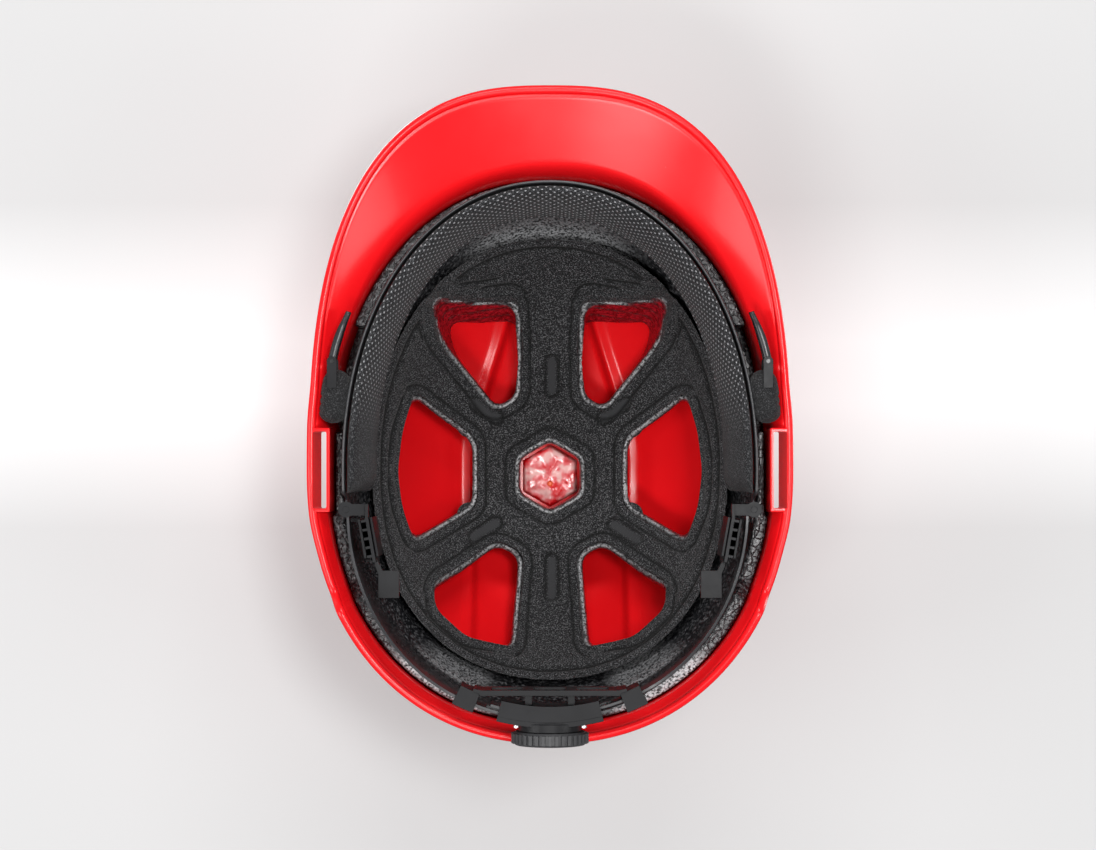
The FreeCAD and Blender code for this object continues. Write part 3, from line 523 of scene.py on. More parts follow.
def make_liner():
    turn = np.linspace(0, 2 * math.pi, 160, endpoint=False)
    levels = np.radians(np.concatenate([np.linspace(1.2, 64, 36), np.linspace(68, 88, 9)]))
    radius, height = dome(turn[:, None], levels[None, :])
    radius, height = inward(radius, height, SHELL_WALL + LINER_GAP)
    outer = polar_points(turn[:, None], radius, height)
    liner = closed_bowl("liner", outer, liner_surface(turn, levels, 0.0))
    tools = window_tools((0.0, 0.0), WINDOW_RADIUS)
    slot_room = ((SLOT_INNER_X - SLOT_WALL - 0.4, -SLOT_ROOM_HALF_LENGTH, ROOM_LOW),
                 (ROOM_OUTER_X, SLOT_ROOM_HALF_LENGTH, SLOT_BACK_HEIGHT + 1))
    latch_room = ((LATCH_ROOM_INNER_X, LATCH_ROOM_FRONT, ROOM_LOW),
                  (ROOM_OUTER_X, LATCH_ROOM_REAR, LATCH_ROOM_TOP))
    for side in (1, -1):
        for low, high in (slot_room, latch_room):
            xs = sorted((side * low[0], side * high[0]))
            tools.append(block("room", (xs[0], *low[1:]), (xs[1], *high[1:])))
    boolean(liner, tools, "DIFFERENCE")
    remeshed(liner, LINER_VOXEL, 4)
    points, normals = mesh_points(liner)
    edge = window_distance(points, (0.0, 0.0), WINDOW_RADIUS)
    level = smooth_step(-normals[:, 2], 0.3, 0.7)
    ridge = LIP_RISE * np.exp(-((edge - 1.9) / 0.8) ** 2) - 0.5 * np.exp(-((edge - 3.6) / 0.7) ** 2)
    set_points(liner, points + normals * (ridge * level)[:, None])
    # painted reflection: the window walls are marked to take the shell's bounced red light as colour
    mark(liner, "wall", (1 - smooth_step(edge, 0.8, 1.6)) * (1 - level))
    # painted highlight: pale flecks along the window lips, the arc behind the brow pad and the nape band
    # stand in for glints on the foam
    lip = np.exp(-((edge - 1.7) / 0.8) ** 2) * level
    arc = smooth_step(-points[:, 1], 92.0, 99.0) * (1 - smooth_step(np.abs(points[:, 0]), 25.0, 52.0)) * level
    beside = np.abs(points[:, 0])
    nape = smooth_step(points[:, 1], 80.0, 90.0) * smooth_step(beside, 24.0, 34.0)
    nape *= 1 - smooth_step(beside, 66.0, 82.0)
    nape *= smooth_step(-normals[:, 2], 0.2, 0.6)
    mark(liner, "painted_glints", np.maximum(np.maximum(lip, arc), 0.8 * nape))
    return liner


def mark(obj, name, values):
    """A number for each vertex that materials read."""
    layer = obj.data.attributes.new(name, "FLOAT", "POINT")
    layer.data.foreach_set("value", np.ascontiguousarray(values, dtype=np.float32))


def window_distance(points, margins, radius):
    """How far each point is, seen from below, from the nearest window's edge at about its height."""
    best = distance_to_outline(points[:, :2], rounded(hexagon(CROWN_HOLE_RADIUS + margins[0]), radius * 0.6))
    heights = np.arange(50.0, 150.0, 10.0)
    nearest = np.abs(points[:, 2:3] - heights[None, :]).argmin(axis=1)
    folded = np.stack([np.abs(points[:, 0]), points[:, 1]], axis=1)
    for corners in (FRONT_WINDOW, SIDE_WINDOW, REAR_WINDOW):
        for index, height in enumerate(heights):
            chosen = nearest == index
            ring = window_outline(corners, height, margins, radius)
            best[chosen] = np.minimum(best[chosen], distance_to_outline(folded[chosen], ring))
    return best


def distance_to_outline(points, outline):
    """Distance of flat points from a closed outline."""
    best = np.full(len(points), 1e9)
    for start, end in zip(outline, outline[1:] + outline[:1]):
        start = np.array(start)
        step = np.array(end) - start
        share = np.clip(((points - start) @ step) / max(step @ step, 1e-9), 0, 1)
        best = np.minimum(best, np.hypot(*(points - start - share[:, None] * step).T))
    return best


def pad_outline():
    turn = np.radians(np.linspace(0, 360, 120, endpoint=False))
    radius = polar_radius(turn, PAD_HALF_WIDTH, PAD_FRONT, PAD_REAR, OUTLINE_POWER)
    return [tuple(p[:2]) for p in polar_points(turn, radius, 0.0)]


PAD_DENTS = [((0.9, -47.0), 90, 7.0), ((-31.5, -29.5), 35, 6.0), ((31.5, -29.5), -35, 6.0),
             ((-32.0, 29.5), -32, 6.0), ((37.0, 30.5), 32, 6.0), ((0.9, 53.0), 90, 8.0)]


def depth_below(points, surface):
    """How far each point lies beyond a surface of the liner's kind, measured along the dome's own section."""
    flat = surface.reshape(-1, 3)
    tree = KDTree(len(flat))
    for index, point in enumerate(flat):
        tree.insert(point, index)
    tree.balance()
    across = np.gradient(surface, axis=0)
    along = np.gradient(surface, axis=1)
    normal = np.cross(across, along).reshape(-1, 3)
    normal /= np.linalg.norm(normal, axis=1)[:, None]
    normal *= np.sign(-normal[:, 2:3])
    found = [tree.find_n(point, NEIGHBOURS) for point in points]
    depth = np.zeros(len(points))
    weight = np.zeros(len(points))
    for near in range(NEIGHBOURS):
        index = np.array([item[near][1] for item in found])
        away = np.array([item[near][2] for item in found])
        part = 1 / (away + 0.05) ** 2
        depth += part * ((points - flat[index]) * normal[index]).sum(axis=1)
        weight += part
    return depth / weight


PAD_WINDOW_RADIUS = 5.0
PAD_VOXEL = 0.85
PAD_SEAM = 4.6
PAD_SEAM_DEPTH = 1.5
PAD_DENT_DEPTH = 1.5


def make_crown_pad():
    turn = np.linspace(0, 2 * math.pi, 200, endpoint=False)
    levels = np.radians(np.concatenate([np.linspace(9, 64, 46), np.linspace(66, 88, 16)]))
    outer = liner_surface(turn, levels, PAD_GAP)
    inner = liner_surface(turn, levels, PAD_GAP + PAD_THICKNESS)
    pad = closed_bowl("crown_cushion", outer, inner)
    outline = pad_outline()
    plug = prism("plug", [(x, y, 0.0) for x, y in outline], [(x, y, WINDOW_HEIGHTS[1]) for x, y in outline])
    boolean(pad, [plug], "INTERSECT")
    boolean(pad, window_tools(PAD_WINDOW_MARGINS, PAD_WINDOW_RADIUS), "DIFFERENCE")
    remeshed(pad, PAD_VOXEL, 2)
    points, normals = mesh_points(pad)
    flat = points[:, :2]
    to_window = window_distance(points, PAD_WINDOW_MARGINS, PAD_WINDOW_RADIUS)
    edge = np.minimum(distance_to_outline(flat, outline), to_window)
    depth = depth_below(points, inner)
    on_head_side = smooth_step(depth, -PAD_THICKNESS * 0.6, -PAD_THICKNESS * 0.2)
    on_head_side = on_head_side * smooth_step(edge, 0.4, 1.6)
    sink = PAD_SEAM_DEPTH * np.exp(-((edge - PAD_SEAM) / 0.8) ** 2) + 1.6 * (1 - smooth_step(edge, 0.2, 3.6))
    # painted shade: the seam groove and the rims of the dents are marked to be darkened in colour
    painted_groove_shade = np.exp(-((edge - PAD_SEAM) / 0.7) ** 2) * on_head_side
    pressed = np.zeros(len(points))
    for (x, y), degrees, half_length in PAD_DENTS:
        along = np.array([math.cos(math.radians(degrees)), math.sin(math.radians(degrees))])
        offset = flat - np.array([x, y])
        reach = np.clip(offset @ along, -half_length, half_length)
        away = np.hypot(*(offset - reach[:, None] * along).T)
        sink += PAD_DENT_DEPTH * (1 - smooth_step(away, 2.2, 4.2))
        painted_groove_shade = np.maximum(painted_groove_shade, 0.9 * np.exp(-((away - 3.3) / 0.8) ** 2) * on_head_side)
        pressed = np.maximum(pressed, (1 - smooth_step(away, 1.6, 2.6)) * on_head_side)
    quilt = np.array([noise.noise(Vector(point) * 0.09) for point in points])
    level = (0.35 * quilt - sink - depth) * on_head_side
    heading = normals.copy()
    heading[:, 2] = np.minimum(heading[:, 2], -0.2)
    heading /= np.linalg.norm(heading, axis=1)[:, None]
    set_points(pad, points + heading * level[:, None])
    relax = pad.modifiers.new("relax", "SMOOTH")
    relax.factor = 0.5
    relax.iterations = 2
    baked(pad)
    mark(pad, "painted_groove_shade", painted_groove_shade)
    mark(pad, "pressed", pressed)
    return pad


BOSS_STEP = 2.1
CRINKLE_DEPTH = 0.75


def make_crown_boss():
    """The moulded hexagon at the middle of the crown, with the crinkles that run out from its gate."""
    count = 96
    rings = 34
    level = CROWN_HEIGHT - SHELL_WALL + CREST_LIFT
    points = []
    for i in range(rings):
        share = i / (rings - 1)
        for k in range(count):
            turn = 2 * math.pi * k / count
            sector = (turn + math.pi / 6) % (math.pi / 3) - math.pi / 6
            reach = BOSS_RADIUS * math.cos(math.pi / 6) / math.cos((turn % (math.pi / 3)) - math.pi / 6)
            x = share * reach * math.sin(turn)
            y = CROWN_HOLE_Y - share * reach * math.cos(turn)
            crinkle = noise.ridged_multi_fractal(Vector((x * 0.10, y * 0.10, 3.0)), 0.9, 2.0, 2, 0.9, 2.0)
            crease = 0.25 * math.cos(3 * sector) ** 8 * share * (1 - share) * 4
            wall = BOSS_DEPTH - BOSS_STEP * float(smooth_step(share, 0.9, 1.0))
            points.append((x, y, level - wall - CRINKLE_DEPTH * crinkle * (1 - share ** 4) - crease))
    faces = grid_faces(rings, count, close_columns=True)
    faces.append(tuple(range((rings - 1) * count, rings * count)))
    boss = new_object("crown_boss", points, faces)
    work = bmesh.new()
    work.from_mesh(boss.data)
    bmesh.ops.remove_doubles(work, verts=work.verts, dist=0.01 * MM)
    work.to_mesh(boss.data)
    work.free()
    outward(boss)
    return boss


GATE_PROFILE = ((2.0, 1.5), (3.6, 1.5), (4.0, 1.2), (4.1, 0.5))


def make_gate():
    """The small round gate mark at the middle of the boss."""
    sections = []
    middle = CROWN_HOLE_Y + GATE_OFFSET
    for z, radius in GATE_PROFILE:
        ring = [2 * math.pi * k / 24 for k in range(24)]
        level = CROWN_HEIGHT - SHELL_WALL + CREST_LIFT - z
        sections.append([(radius * math.cos(t), middle + radius * math.sin(t), level) for t in ring])
    return swept("gate_mark", sections)


# ---------------------------------------------------------------- headband and soft parts


def band_radius(angle, inset):
    return polar_radius(angle, BAND_HALF_WIDTH, BAND_FRONT, BAND_FRONT, BAND_POWER) - inset


def swept(name, sections, smooth=True):
    """A closed skin over a row of closed sections, with flat ends, and with lengths as UVs in metres."""
    sections = np.asarray(sections, float)
    rows, columns = sections.shape[:2]
    faces = grid_faces(rows, columns, close_columns=True)
    faces.append(tuple(range(columns))[::-1])
    faces.append(tuple((rows - 1) * columns + j for j in range(columns)))
    obj = new_object(name, sections.reshape(-1, 3), faces, smooth)
    middle = sections.mean(axis=1)
    steps = np.linalg.norm(np.diff(middle, axis=0), axis=1)
    along = np.concatenate([[0], np.cumsum(steps)])
    ring = np.vstack([sections[rows // 2], sections[rows // 2][:1]])
    around = np.concatenate([[0], np.cumsum(np.linalg.norm(np.diff(ring, axis=0), axis=1))])
    layer = obj.data.uv_layers.new(name="lengths")
    for polygon in obj.data.polygons[:(rows - 1) * columns]:
        i, j = divmod(polygon.index, columns)
        corners = ((i, j), (i, j + 1), (i + 1, j + 1), (i + 1, j))
        for loop, (row, column) in zip(polygon.loop_indices, corners):
            layer.data[loop].uv = (along[row] * MM, around[column] * MM)
    outward(obj)
    return obj


BAND_END_Y = 24.0
BAND_REAR_ANGLE = 97
BAND_REAR_LOW = 11.3
BAND_SOFT_IN = 0.25
BAND_SOFT_UP = 0.5


def make_headband():
    reach = math.radians(90) + math.asin(BAND_END_Y / BAND_HALF_WIDTH)
    sections = []
    low, high = BAND_HEIGHTS
    for angle in np.linspace(-reach, reach, 181):
        bottom = low
        if abs(math.degrees(angle)) > BAND_REAR_ANGLE:
            bottom = BAND_REAR_LOW
        half_ring = [(BAND_SOFT_IN, bottom), (0, bottom + BAND_SOFT_UP), (0, high - BAND_SOFT_UP),
                     (BAND_SOFT_IN, high)]
        ring = half_ring + [(BAND_THICKNESS - inset, z) for inset, z in reversed(half_ring)]
        sections.append([polar_points(angle, band_radius(angle, inset), z) for inset, z in ring])
    return swept("front_strip", sections)


def make_brow_pad():
    reach = math.radians(BROW_PAD_END_ANGLE)
    low, high = BROW_PAD_HEIGHTS
    sections = []
    turns = 241
    for i, angle in enumerate(np.linspace(-reach, reach, turns)):
        end = min(i, turns - 1 - i) / 7.0
        taper = math.sqrt(1 - (1 - min(end, 1)) ** 2) if end < 1 else 1.0
        taper = max(taper, 0.12)
        ring = []
        for k in range(44):
            t = 2 * math.pi * k / 44
            share = 0.5 - 0.5 * math.copysign(abs(math.cos(t)) ** 0.62, math.cos(t))
            lean = BAND_THICKNESS + BROW_PAD_GAP + BROW_PAD_LEAN * share ** 2
            thickness = BROW_PAD_THICKNESS * (0.62 + 0.5 * math.sin(math.pi * share)) * taper
            side = math.copysign(abs(math.sin(t)) ** 0.55, math.sin(t))
            inset = lean + thickness * (0.5 + 0.5 * side)
            seam = 0.9 * math.exp(-((share - 0.84) / 0.02) ** 2) * (side > 0)
            ripple = 0.16 * math.sin(angle * 23) * math.sin(math.pi * share)
            z = low + (high - low) * (0.5 + (share - 0.5) * (0.86 + 0.14 * taper))
            ring.append(polar_points(angle, band_radius(angle, inset - seam + ripple), z))
        sections.append(ring)
    pad = swept("brow_cushion", sections)
    points, _ = mesh_points(pad)
    mark(pad, "meshed", smooth_step(-points[:, 1], 12.0, 48.0))
    return pad


# Each fold's depth in mm, place along the roll as a share, and width in mm
ROLL_FOLDS = ((0.55, 0.55, 0.8), (0.5, 0.80, 0.7), (0.45, 1.05, 0.7))


def make_roll(name, side):
    """A soft roll with folds at its rear half, pulled in at the latch."""
    axis = BLOCK_END - BLOCK_START
    length = axis.length
    along = axis.normalized()
    across = Vector((along.y, -along.x, 0))
    up = Vector((0, 0, 1))
    sections = []
    rows = 64
    for i in range(rows):
        s = -BLOCK_RADIUS + (length + 2 * BLOCK_RADIUS) * i / (rows - 1)
        beyond = max(-s, s - length, 0)
        radius = math.sqrt(max(BLOCK_RADIUS ** 2 - beyond ** 2, 0.05))
        ring = []
        for k in range(48):
            t = 2 * math.pi * k / 48
            skew = s + 1.6 * math.sin(t)
            fold = 0.0
            for deep, place, wide in ROLL_FOLDS:
                fold += deep * math.exp(-((skew - length * place) / wide) ** 2)
            puff = 1 + 0.03 * math.sin(2 * t + 0.4 * s)
            r = max(radius * ROLL_SWELL * puff - fold * min(radius / BLOCK_RADIUS, 1), 0.1)
            point = BLOCK_START + along * s + across * (r * math.cos(t)) + up * (r * math.sin(t))
            ring.append((side * point.x, point.y, point.z))
        sections.append(ring)
    return swept(name, sections)


LATCH_ROOT = 2.0
LATCH_BOW = 0.9
LATCH_HALF_WIDTH = 1.9
LATCH_TIP_DROP = 1.4


def make_latch(name, side):
    """A slim finger with softened edges and a thicker root."""
    along = (LATCH_TIP - LATCH_PIVOT).normalized()
    across = Vector((-along.y, along.x, 0))
    length = (LATCH_TIP - LATCH_PIVOT).length
    low, high = LATCH_HEIGHTS
    sections = []
    for i in range(25):
        share = i / 24
        s = -LATCH_ROOT + (length + LATCH_ROOT) * share
        root = (max(0.08 - share, 0) / 0.08) ** 2
        half = LATCH_HALF_WIDTH - 0.7 * smooth_step(share, 0.45, 1.0) - 1.0 * root
        bow = LATCH_BOW * math.sin(math.pi * share)
        drop = LATCH_TIP_DROP * float(smooth_step(share, 0.7, 1.0))
        middle = LATCH_PIVOT + along * s + across * bow
        ring = []
        for k in range(20):
            t = 2 * math.pi * k / 20
            side_way = math.copysign(abs(math.cos(t)) ** 0.6, math.cos(t)) * float(half)
            upward = math.copysign(abs(math.sin(t)) ** 0.45, math.sin(t))
            height = (low + high) / 2 + (high - low - 2 * drop) / 2 * upward
            point = middle + across * side_way
            ring.append((side * point.x, point.y, height))
        sections.append(ring)
    return swept(name, sections)


# ---------------------------------------------------------------- materials


class Shader:
    """A material's nodes, with short ways to add and join them."""

    def __init__(self, name):
        self.material = bpy.data.materials.new(name)
        self.material.use_nodes = True
        self.tree = self.material.node_tree
        self.surface = self.tree.nodes["Principled BSDF"]

    def node(self, kind, **settings):
        made = self.tree.nodes.new(kind)
        for key, value in settings.items():
            setattr(made, key, value)
        return made

    def join(self, source, target):
        self.tree.links.new(source, target)

    def set(self, **values):
        for key, value in values.items():
            self.surface.inputs[key.replace("_", " ")].default_value = value

    def place(self, scale=(1, 1, 1), turn=0.0, uv=False):
        """Object or UV coordinates, in metres, scaled."""
        coordinates = self.node("ShaderNodeTexCoord")
        mapping = self.node("ShaderNodeMapping")
        mapping.inputs["Scale"].default_value = scale
        mapping.inputs["Rotation"].default_value = (0, 0, turn)
        self.join(coordinates.outputs["UV" if uv else "Object"], mapping.inputs["Vector"])
        return mapping.outputs["Vector"]

    def noise(self, scale, detail=4.0, vector=None):
        made = self.node("ShaderNodeTexNoise")
        made.inputs["Scale"].default_value = scale
        made.inputs["Detail"].default_value = detail
        self.join(vector or self.place(), made.inputs["Vector"])
        return made.outputs["Fac"]

    def voronoi(self, scale, feature="F1", vector=None, randomness=1.0):
        made = self.node("ShaderNodeTexVoronoi", feature=feature)
        made.inputs["Scale"].default_value = scale
        made.inputs["Randomness"].default_value = randomness
        self.join(vector or self.place(), made.inputs["Vector"])
        return made.outputs["Distance"]

    def ramp(self, source, stops):
        made = self.node("ShaderNodeValToRGB")
        elements = made.color_ramp.elements
        while len(elements) < len(stops):
            elements.new(0.5)
        for element, (position, colour) in zip(elements, stops):
            element.position = position
            element.color = (*colour, 1) if len(colour) == 3 else colour
        self.join(source, made.inputs["Fac"])
        return made.outputs["Color"]

    def attribute(self, name):
        return self.node("ShaderNodeAttribute", attribute_name=name).outputs["Fac"]

    def blend(self, share, first, second):
        made = self.node("ShaderNodeMix", data_type="RGBA")
        self.join(share, made.inputs["Factor"])
        for name, value in (("A", first), ("B", second)):
            socket = [i for i in made.inputs if i.name == name and i.type == "RGBA"][0]
            if isinstance(value, tuple):
                socket.default_value = (*value, 1)
            else:
                self.join(value, socket)
        return [o for o in made.outputs if o.type == "RGBA"][0]

    def span(self, source, low, high, from_low=0.0, from_high=1.0):
        made = self.node("ShaderNodeMapRange")
        limits = (("From Min", from_low), ("From Max", from_high), ("To Min", low), ("To Max", high))
        for name, value in limits:
            made.inputs[name].default_value = value
        self.join(source, made.inputs["Value"])
        return made.outputs["Result"]

    def bump(self, height, distance_mm, strength=1.0, below=None, rounding_mm=0.0):
        made = self.node("ShaderNodeBump")
        made.inputs["Distance"].default_value = distance_mm * MM
        made.inputs["Strength"].default_value = strength
        self.join(height, made.inputs["Height"])
        if below:
            self.join(below, made.inputs["Normal"])
        elif rounding_mm:
            soft = self.node("ShaderNodeBevel", samples=4)
            soft.inputs["Radius"].default_value = rounding_mm * MM
            self.join(soft.outputs["Normal"], made.inputs["Normal"])
        return made.outputs["Normal"]

    def finish(self, colour=None, roughness=None, normal=None):
        if colour:
            self.join(colour, self.surface.inputs["Base Color"])
        if roughness:
            self.join(roughness, self.surface.inputs["Roughness"])
        if normal:
            self.join(normal, self.surface.inputs["Normal"])
        return self.material


def shell_red():
    s = Shader("shell_red")
    s.set(Coat_Weight=0.05, Coat_Roughness=0.06, IOR=1.48, Specular_IOR_Level=0.32)
    tone = s.ramp(s.noise(9.0, 3.0), [(0.3, (0.74, 0.005, 0.008)), (0.7, (0.80, 0.007, 0.011))])
    rough = s.span(s.noise(60.0, 4.0), 0.20, 0.30)
    fine = s.noise(900.0, 3.0)
    wave = s.bump(s.noise(26.0, 2.0), 0.35, 0.35)
    return s.finish(tone, rough, s.bump(fine, 0.02, 0.5, below=wave))


def clouded_red_painted_highlight():
    """The same plastic with clouding around the gate; its pale pink patches are painted highlight."""
    s = Shader("shell_red_clouded_painted_highlight")
    s.set(Coat_Weight=0.3, Coat_Roughness=0.08)
    cloud_and_highlight = s.noise(130.0, 2.0)
    # painted highlight: the pale pink stops stand in for light reflected off the flat facet
    stops = [(0.40, (0.74, 0.008, 0.014)), (0.50, (0.88, 0.16, 0.17)), (0.60, (1.0, 0.55, 0.52))]
    tone = s.ramp(cloud_and_highlight, stops)
    return s.finish(tone, s.span(s.noise(80.0, 3.0), 0.15, 0.3), s.bump(s.noise(160.0, 3.0), 0.3, 0.8))


def foam_black():
    s = Shader("foam_black")
    cells = s.voronoi(330.0, "DISTANCE_TO_EDGE")
    beads = s.span(cells, 0.0, 1.0, 0.0, 0.12)
    tone = s.ramp(s.noise(700.0, 3.0), [(0.50, (0.006, 0.006, 0.007)), (0.68, (0.10, 0.10, 0.104))])
    rough = s.span(s.noise(420.0, 3.0), 0.16, 0.46)
    dimple = s.bump(s.noise(700.0, 4.0), 0.16, 0.8)
    # painted highlight: pale flecks where the liner is marked stand in for glints on its beads
    bright = s.ramp(s.noise(900.0, 3.0), [(0.40, (0.02, 0.02, 0.02)), (0.56, (0.50, 0.50, 0.51))])
    tone = s.blend(s.attribute("painted_glints"), tone, bright)
    # painted reflection: dark red on the window walls stands in for red light bounced from the shell
    wall = s.attribute("wall")
    painted_red_reflection = s.ramp(s.noise(500.0, 2.0), [(0.44, (0.13, 0.003, 0.006)), (0.58, (0.42, 0.012, 0.024))])
    tone = s.blend(wall, tone, painted_red_reflection)
    s.set(IOR=1.5)
    return s.finish(tone, rough, s.bump(beads, 0.22, 0.9, below=dimple))


def knit(name, pitch, light, uv=False, dots=None, fleck=(0.14, 0.14, 0.145)):
    """Knitted cloth with pale flecks, painted shade in its hollows and seam grooves, and a dot pattern where
    it is a spacer mesh.
    """
    s = Shader(name)
    vector = s.place((1 / pitch, 1 / pitch, 1 / pitch), math.radians(45), uv)
    loops = s.voronoi(1.0, "F1", vector, 0.25)
    height = s.span(loops, 1.0, 0.0, 0.0, 0.7)
    fluff = s.noise(2600.0, 3.0)
    dark = (0.004, 0.004, 0.0045)
    # painted shade: the colour darkens from the loops' tops into the hollows between them
    tone = s.ramp(height, [(0.25, dark), (0.95, light)])
    flecks = s.ramp(s.noise(1700.0, 2.0), [(0.52, (0, 0, 0)), (0.66, (1, 1, 1))])
    tone = s.blend(flecks, tone, fleck)
    if dots:
        grid = s.place((1 / dots, 1 / dots, 1 / dots), math.radians(45), uv)
        spots = s.voronoi(1.0, "F1", grid, 0.0)
        mask = s.node("ShaderNodeMath", operation="MULTIPLY")
        s.join(s.ramp(spots, [(0.14, (1, 1, 1)), (0.22, (0, 0, 0))]), mask.inputs[0])
        s.join(s.attribute("meshed"), mask.inputs[1])
        tone = s.blend(mask.outputs["Value"], tone, (0.30, 0.30, 0.31))
    else:
        tone = s.blend(s.attribute("pressed"), tone, (0.035, 0.035, 0.037))
        # painted shade in the seam and dent grooves
        tone = s.blend(s.attribute("painted_groove_shade"), tone, (0.002, 0.002, 0.002))
    s.set(Roughness=0.85, Sheen_Weight=0.06, Sheen_Roughness=0.4, Specular_IOR_Level=0.3)
    base = s.bump(fluff, 0.12, 0.6)
    return s.finish(tone, None, s.bump(height, 0.35, 0.9, below=base))


def moulded(name, colour, roughness, grain, rounding=0.35, specular=0.5):
    """Moulded plastic with a fine grain and softened edges."""
    s = Shader(name)
    s.set(Specular_IOR_Level=specular)
    low = tuple(c * 0.8 for c in colour)
    high = tuple(c * 1.2 for c in colour)
    tone = s.ramp(s.noise(70.0, 3.0), [(0.3, low), (0.7, high)])
    rough = s.span(s.noise(320.0, 4.0), roughness * 0.8, roughness * 1.25)
    return s.finish(tone, rough, s.bump(s.noise(1500.0, 3.0), grain, 0.6, rounding_mm=rounding))


def plated(name, dark, light):
    s = Shader(name)
    s.set(Metallic=1.0)
    tone = s.ramp(s.noise(150.0, 3.0), [(0.3, dark), (0.7, light)])
    rough = s.span(s.noise(500.0, 3.0), 0.25, 0.4)
    return s.finish(tone, rough, s.bump(s.noise(900.0, 2.0), 0.02, 0.5))


MATERIALS = {
    "shell": shell_red(),
    "foam": foam_black(),
    "pad_fabric": knit("crown_knit", 1.0 * MM, (0.026, 0.026, 0.028)),
    "brow_fabric": knit("brow_mesh", 0.95 * MM, (0.020, 0.020, 0.022), uv=True, dots=2.6 * MM,
                        fleck=(0.07, 0.07, 0.074)),
    "block_fabric": knit("roll_knit", 0.9 * MM, (0.014, 0.014, 0.015), uv=True, fleck=(0.05, 0.05, 0.052)),
    "fastener": knit("hook_tape", 0.7 * MM, (0.03, 0.03, 0.03)),
    "band": moulded("band_nylon", (0.022, 0.022, 0.024), 0.36, 0.03),
    "dark_plastic": moulded("dark_nylon", (0.010, 0.010, 0.011), 0.38, 0.03, specular=0.15),
    "grey_plastic": moulded("grey_nylon", (0.020, 0.020, 0.022), 0.26, 0.02, specular=0.4),
    "tab_plastic": moulded("tab_nylon", (0.014, 0.014, 0.015), 0.42, 0.03, specular=0.15),
    "knob": moulded("knob_rubber", (0.028, 0.028, 0.030), 0.48, 0.04, 0.25),
    "steel": plated("plated_steel", (0.45, 0.45, 0.46), (0.60, 0.60, 0.61)),
}
BLACK_PIN = plated("blackened_steel", (0.03, 0.03, 0.03), (0.06, 0.06, 0.06))


def dress(obj, slot):
    obj.data.materials.clear()
    obj.data.materials.append(MATERIALS[slot])


def stand_in(obj, slot, body, *nodes):
    """A piece that takes the place of CAD nodes, with its finish and the body it moves with."""
    dress(obj, slot)
    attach(obj, body)
    if nodes:
        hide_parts(*nodes)
    return obj


for subpart in frame["record"]["subparts"]:
    node = frame["nodes"][subpart["node"]]
    finish = BLACK_PIN if subpart["node"].startswith("latch_pin") else MATERIALS[subpart["material_slot"]]
    for index in range(max(len(node.data.materials), 1)):
        if index < len(node.data.materials):
            node.data.materials[index] = finish
        else:
            node.data.materials.append(finish)

stand_in(make_shell(), "shell", "helmet", "outer_shell")
for moulding, finish in ((make_crown_boss(), clouded_red_painted_highlight()),
                         (make_gate(), moulded("gate_orange", (0.80, 0.10, 0.02), 0.35, 0.02))):
    moulding.data.materials.append(finish)
    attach(moulding, "helmet")
stand_in(make_liner(), "foam", "helmet", "eps_liner")
crown_cushion = stand_in(make_crown_pad(), "pad_fabric", "helmet", "crown_pad")
stand_in(make_headband(), "band", "helmet", "headband_front")
brow_cushion = stand_in(make_brow_pad(), "brow_fabric", "helmet", "brow_pad")
for side_name, side in (("left", 1), ("right", -1)):
    roll = make_roll(f"soft_roll_{side_name}", side)
    stand_in(roll, "block_fabric", "helmet", f"suspension_block_{side_name}")
    stand_in(make_latch(f"finger_{side_name}", side), "grey_plastic", f"{side_name}_latch",
             f"suspension_latch_{side_name}")


# ---------------------------------------------------------------- stage, light and camera

CAMERA_DISTANCE = 1200.0
VIEW_WIDTH = 501.6
VIEW_SHIFT = (-0.00182, 0.04106)
LIT_POINT = (0, 0.03, 0.1)
STAGE_HALF = 4.0
BACKDROP_HEIGHT = 0.203
FLOOR_HEIGHT = -0.0005
BACKDROP_GLOW = 0.25
FLOOR_GLOW = 0.3


def make_camera():
    data = bpy.data.cameras.new("camera")
    data.sensor_width = 36.0
    data.lens = data.sensor_width * CAMERA_DISTANCE / VIEW_WIDTH
    data.shift_x, data.shift_y = VIEW_SHIFT
    data.clip_end = 20.0
    camera = bpy.data.objects.new("camera", data)
    camera.location = to_frame((0, 0, -CAMERA_DISTANCE))[0]
    camera.rotation_euler = (math.pi, 0, 0)
    bpy.context.scene.collection.objects.link(camera)
    bpy.context.scene.camera = camera


def one_sided(name, bands, glow, roughness=0.9):
    """A matt surface that shows from its front only, in pale bands along Y."""
    s = Shader(name)
    coordinates = s.node("ShaderNodeTexCoord")
    split = s.node("ShaderNodeSeparateXYZ")
    s.join(coordinates.outputs["Object"], split.inputs["Vector"])
    position = s.span(split.outputs["Y"], 0.0, 1.0, -0.4, 0.4)
    s.set(Roughness=roughness, Emission_Strength=glow)
    s.surface.inputs["Specular IOR Level"].default_value = 0.0
    tone = s.ramp(position, bands)
    s.join(tone, s.surface.inputs["Base Color"])
    s.join(tone, s.surface.inputs["Emission Color"])
    facing = s.node("ShaderNodeNewGeometry")
    clear = s.node("ShaderNodeBsdfTransparent")
    mix = s.node("ShaderNodeMixShader")
    s.join(facing.outputs["Backfacing"], mix.inputs["Fac"])
    s.join(s.surface.outputs["BSDF"], mix.inputs[1])
    s.join(clear.outputs["BSDF"], mix.inputs[2])
    s.join(mix.outputs["Shader"], s.tree.nodes["Material Output"].inputs["Surface"])
    return s.material


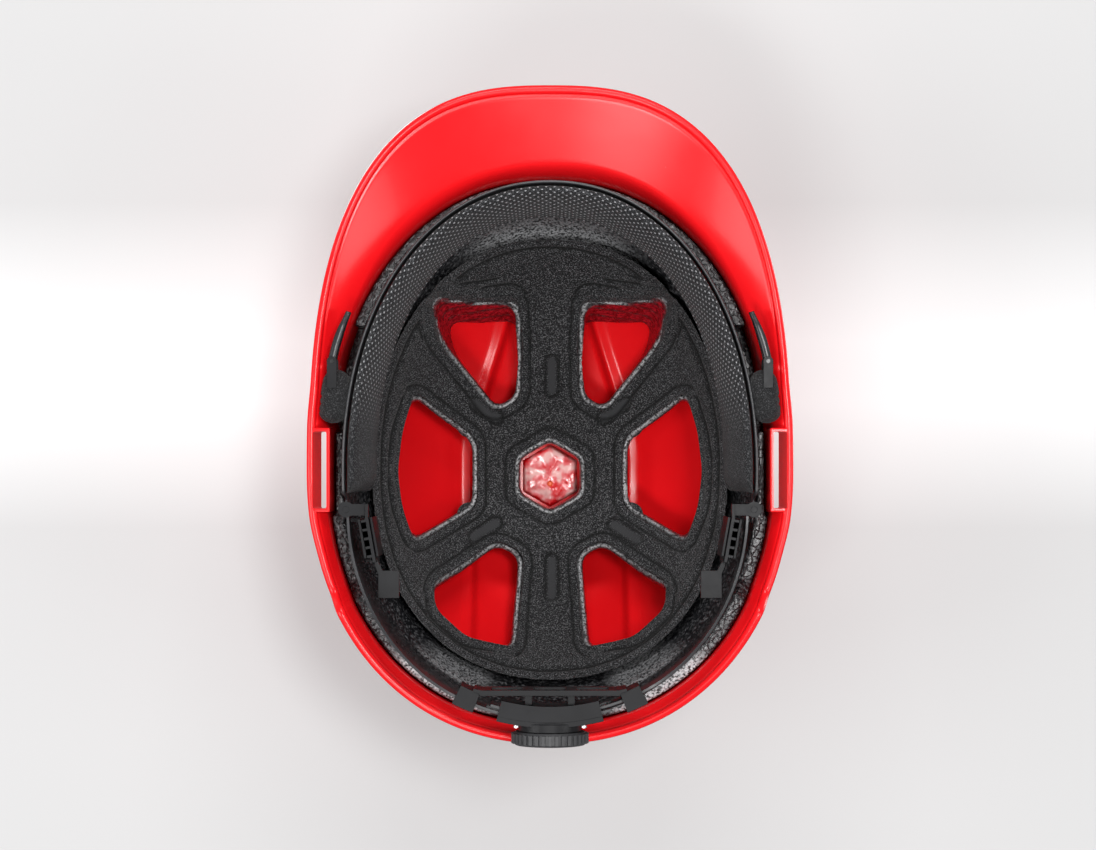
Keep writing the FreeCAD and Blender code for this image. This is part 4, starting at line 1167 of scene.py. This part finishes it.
def stage_plane(name, height, facing_down, material):
    half = STAGE_HALF
    corners = [(-half, -half, height), (half, -half, height), (half, half, height), (-half, half, height)]
    if facing_down:
        corners.reverse()
    mesh = bpy.data.meshes.new(name)
    mesh.from_pydata(corners, [], [(0, 1, 2, 3)])
    mesh.materials.append(material)
    plane = bpy.data.objects.new(name, mesh)
    bpy.context.scene.collection.objects.link(plane)
    plane.visible_shadow = False
    plane.visible_diffuse = False
    plane.visible_glossy = False


def area_light(name, place, size, watts):
    data = bpy.data.lights.new(name, "AREA")
    data.shape = "RECTANGLE"
    data.size, data.size_y = size
    data.energy = watts
    light = bpy.data.objects.new(name, data)
    light.location = place
    light.rotation_euler = (Vector(LIT_POINT) - Vector(place)).to_track_quat("-Z", "Y").to_euler()
    bpy.context.scene.collection.objects.link(light)


def make_stage():
    pale = (0.44, 0.44, 0.44)
    bright = (0.60, 0.60, 0.60)
    bands = [(0.0, pale), (0.36, pale), (0.45, bright), (0.49, bright), (0.57, pale)]
    stage_plane("backdrop", BACKDROP_HEIGHT, True, one_sided("backdrop_paper", bands, BACKDROP_GLOW))
    light = (0.82, 0.82, 0.82)
    floor = one_sided("floor_paper", [(0.0, light), (1.0, light)], FLOOR_GLOW)
    stage_plane("floor", FLOOR_HEIGHT, False, floor)
    world = bpy.data.worlds.new("pale_room")
    world.use_nodes = True
    world.node_tree.nodes["Background"].inputs["Color"].default_value = (0.97, 0.98, 1.0, 1)
    world.node_tree.nodes["Background"].inputs["Strength"].default_value = 0.30
    bpy.context.scene.world = world
    area_light("below_left", (-1.15, 0.15, -0.75), (0.6, 0.9), 9)
    area_light("below_front", (0.05, -0.95, -0.80), (0.8, 0.30), 9)
    area_light("below_right", (1.1, 0.25, -0.75), (0.5, 0.7), 5)
    area_light("below_rear", (-0.30, 0.65, -1.45), (0.6, 0.3), 11)
    area_light("beside_camera", (0.30, -0.12, -1.60), (0.4, 0.3), 14)
    area_light("above_left", (-0.9, -0.9, 1.3), (0.8, 0.8), 14)
    area_light("above_right", (1.2, -0.3, 1.0), (0.6, 0.9), 7)
    scene = bpy.context.scene
    scene.view_settings.view_transform = "Standard"
    scene.view_settings.look = "None"


make_camera()
make_stage()
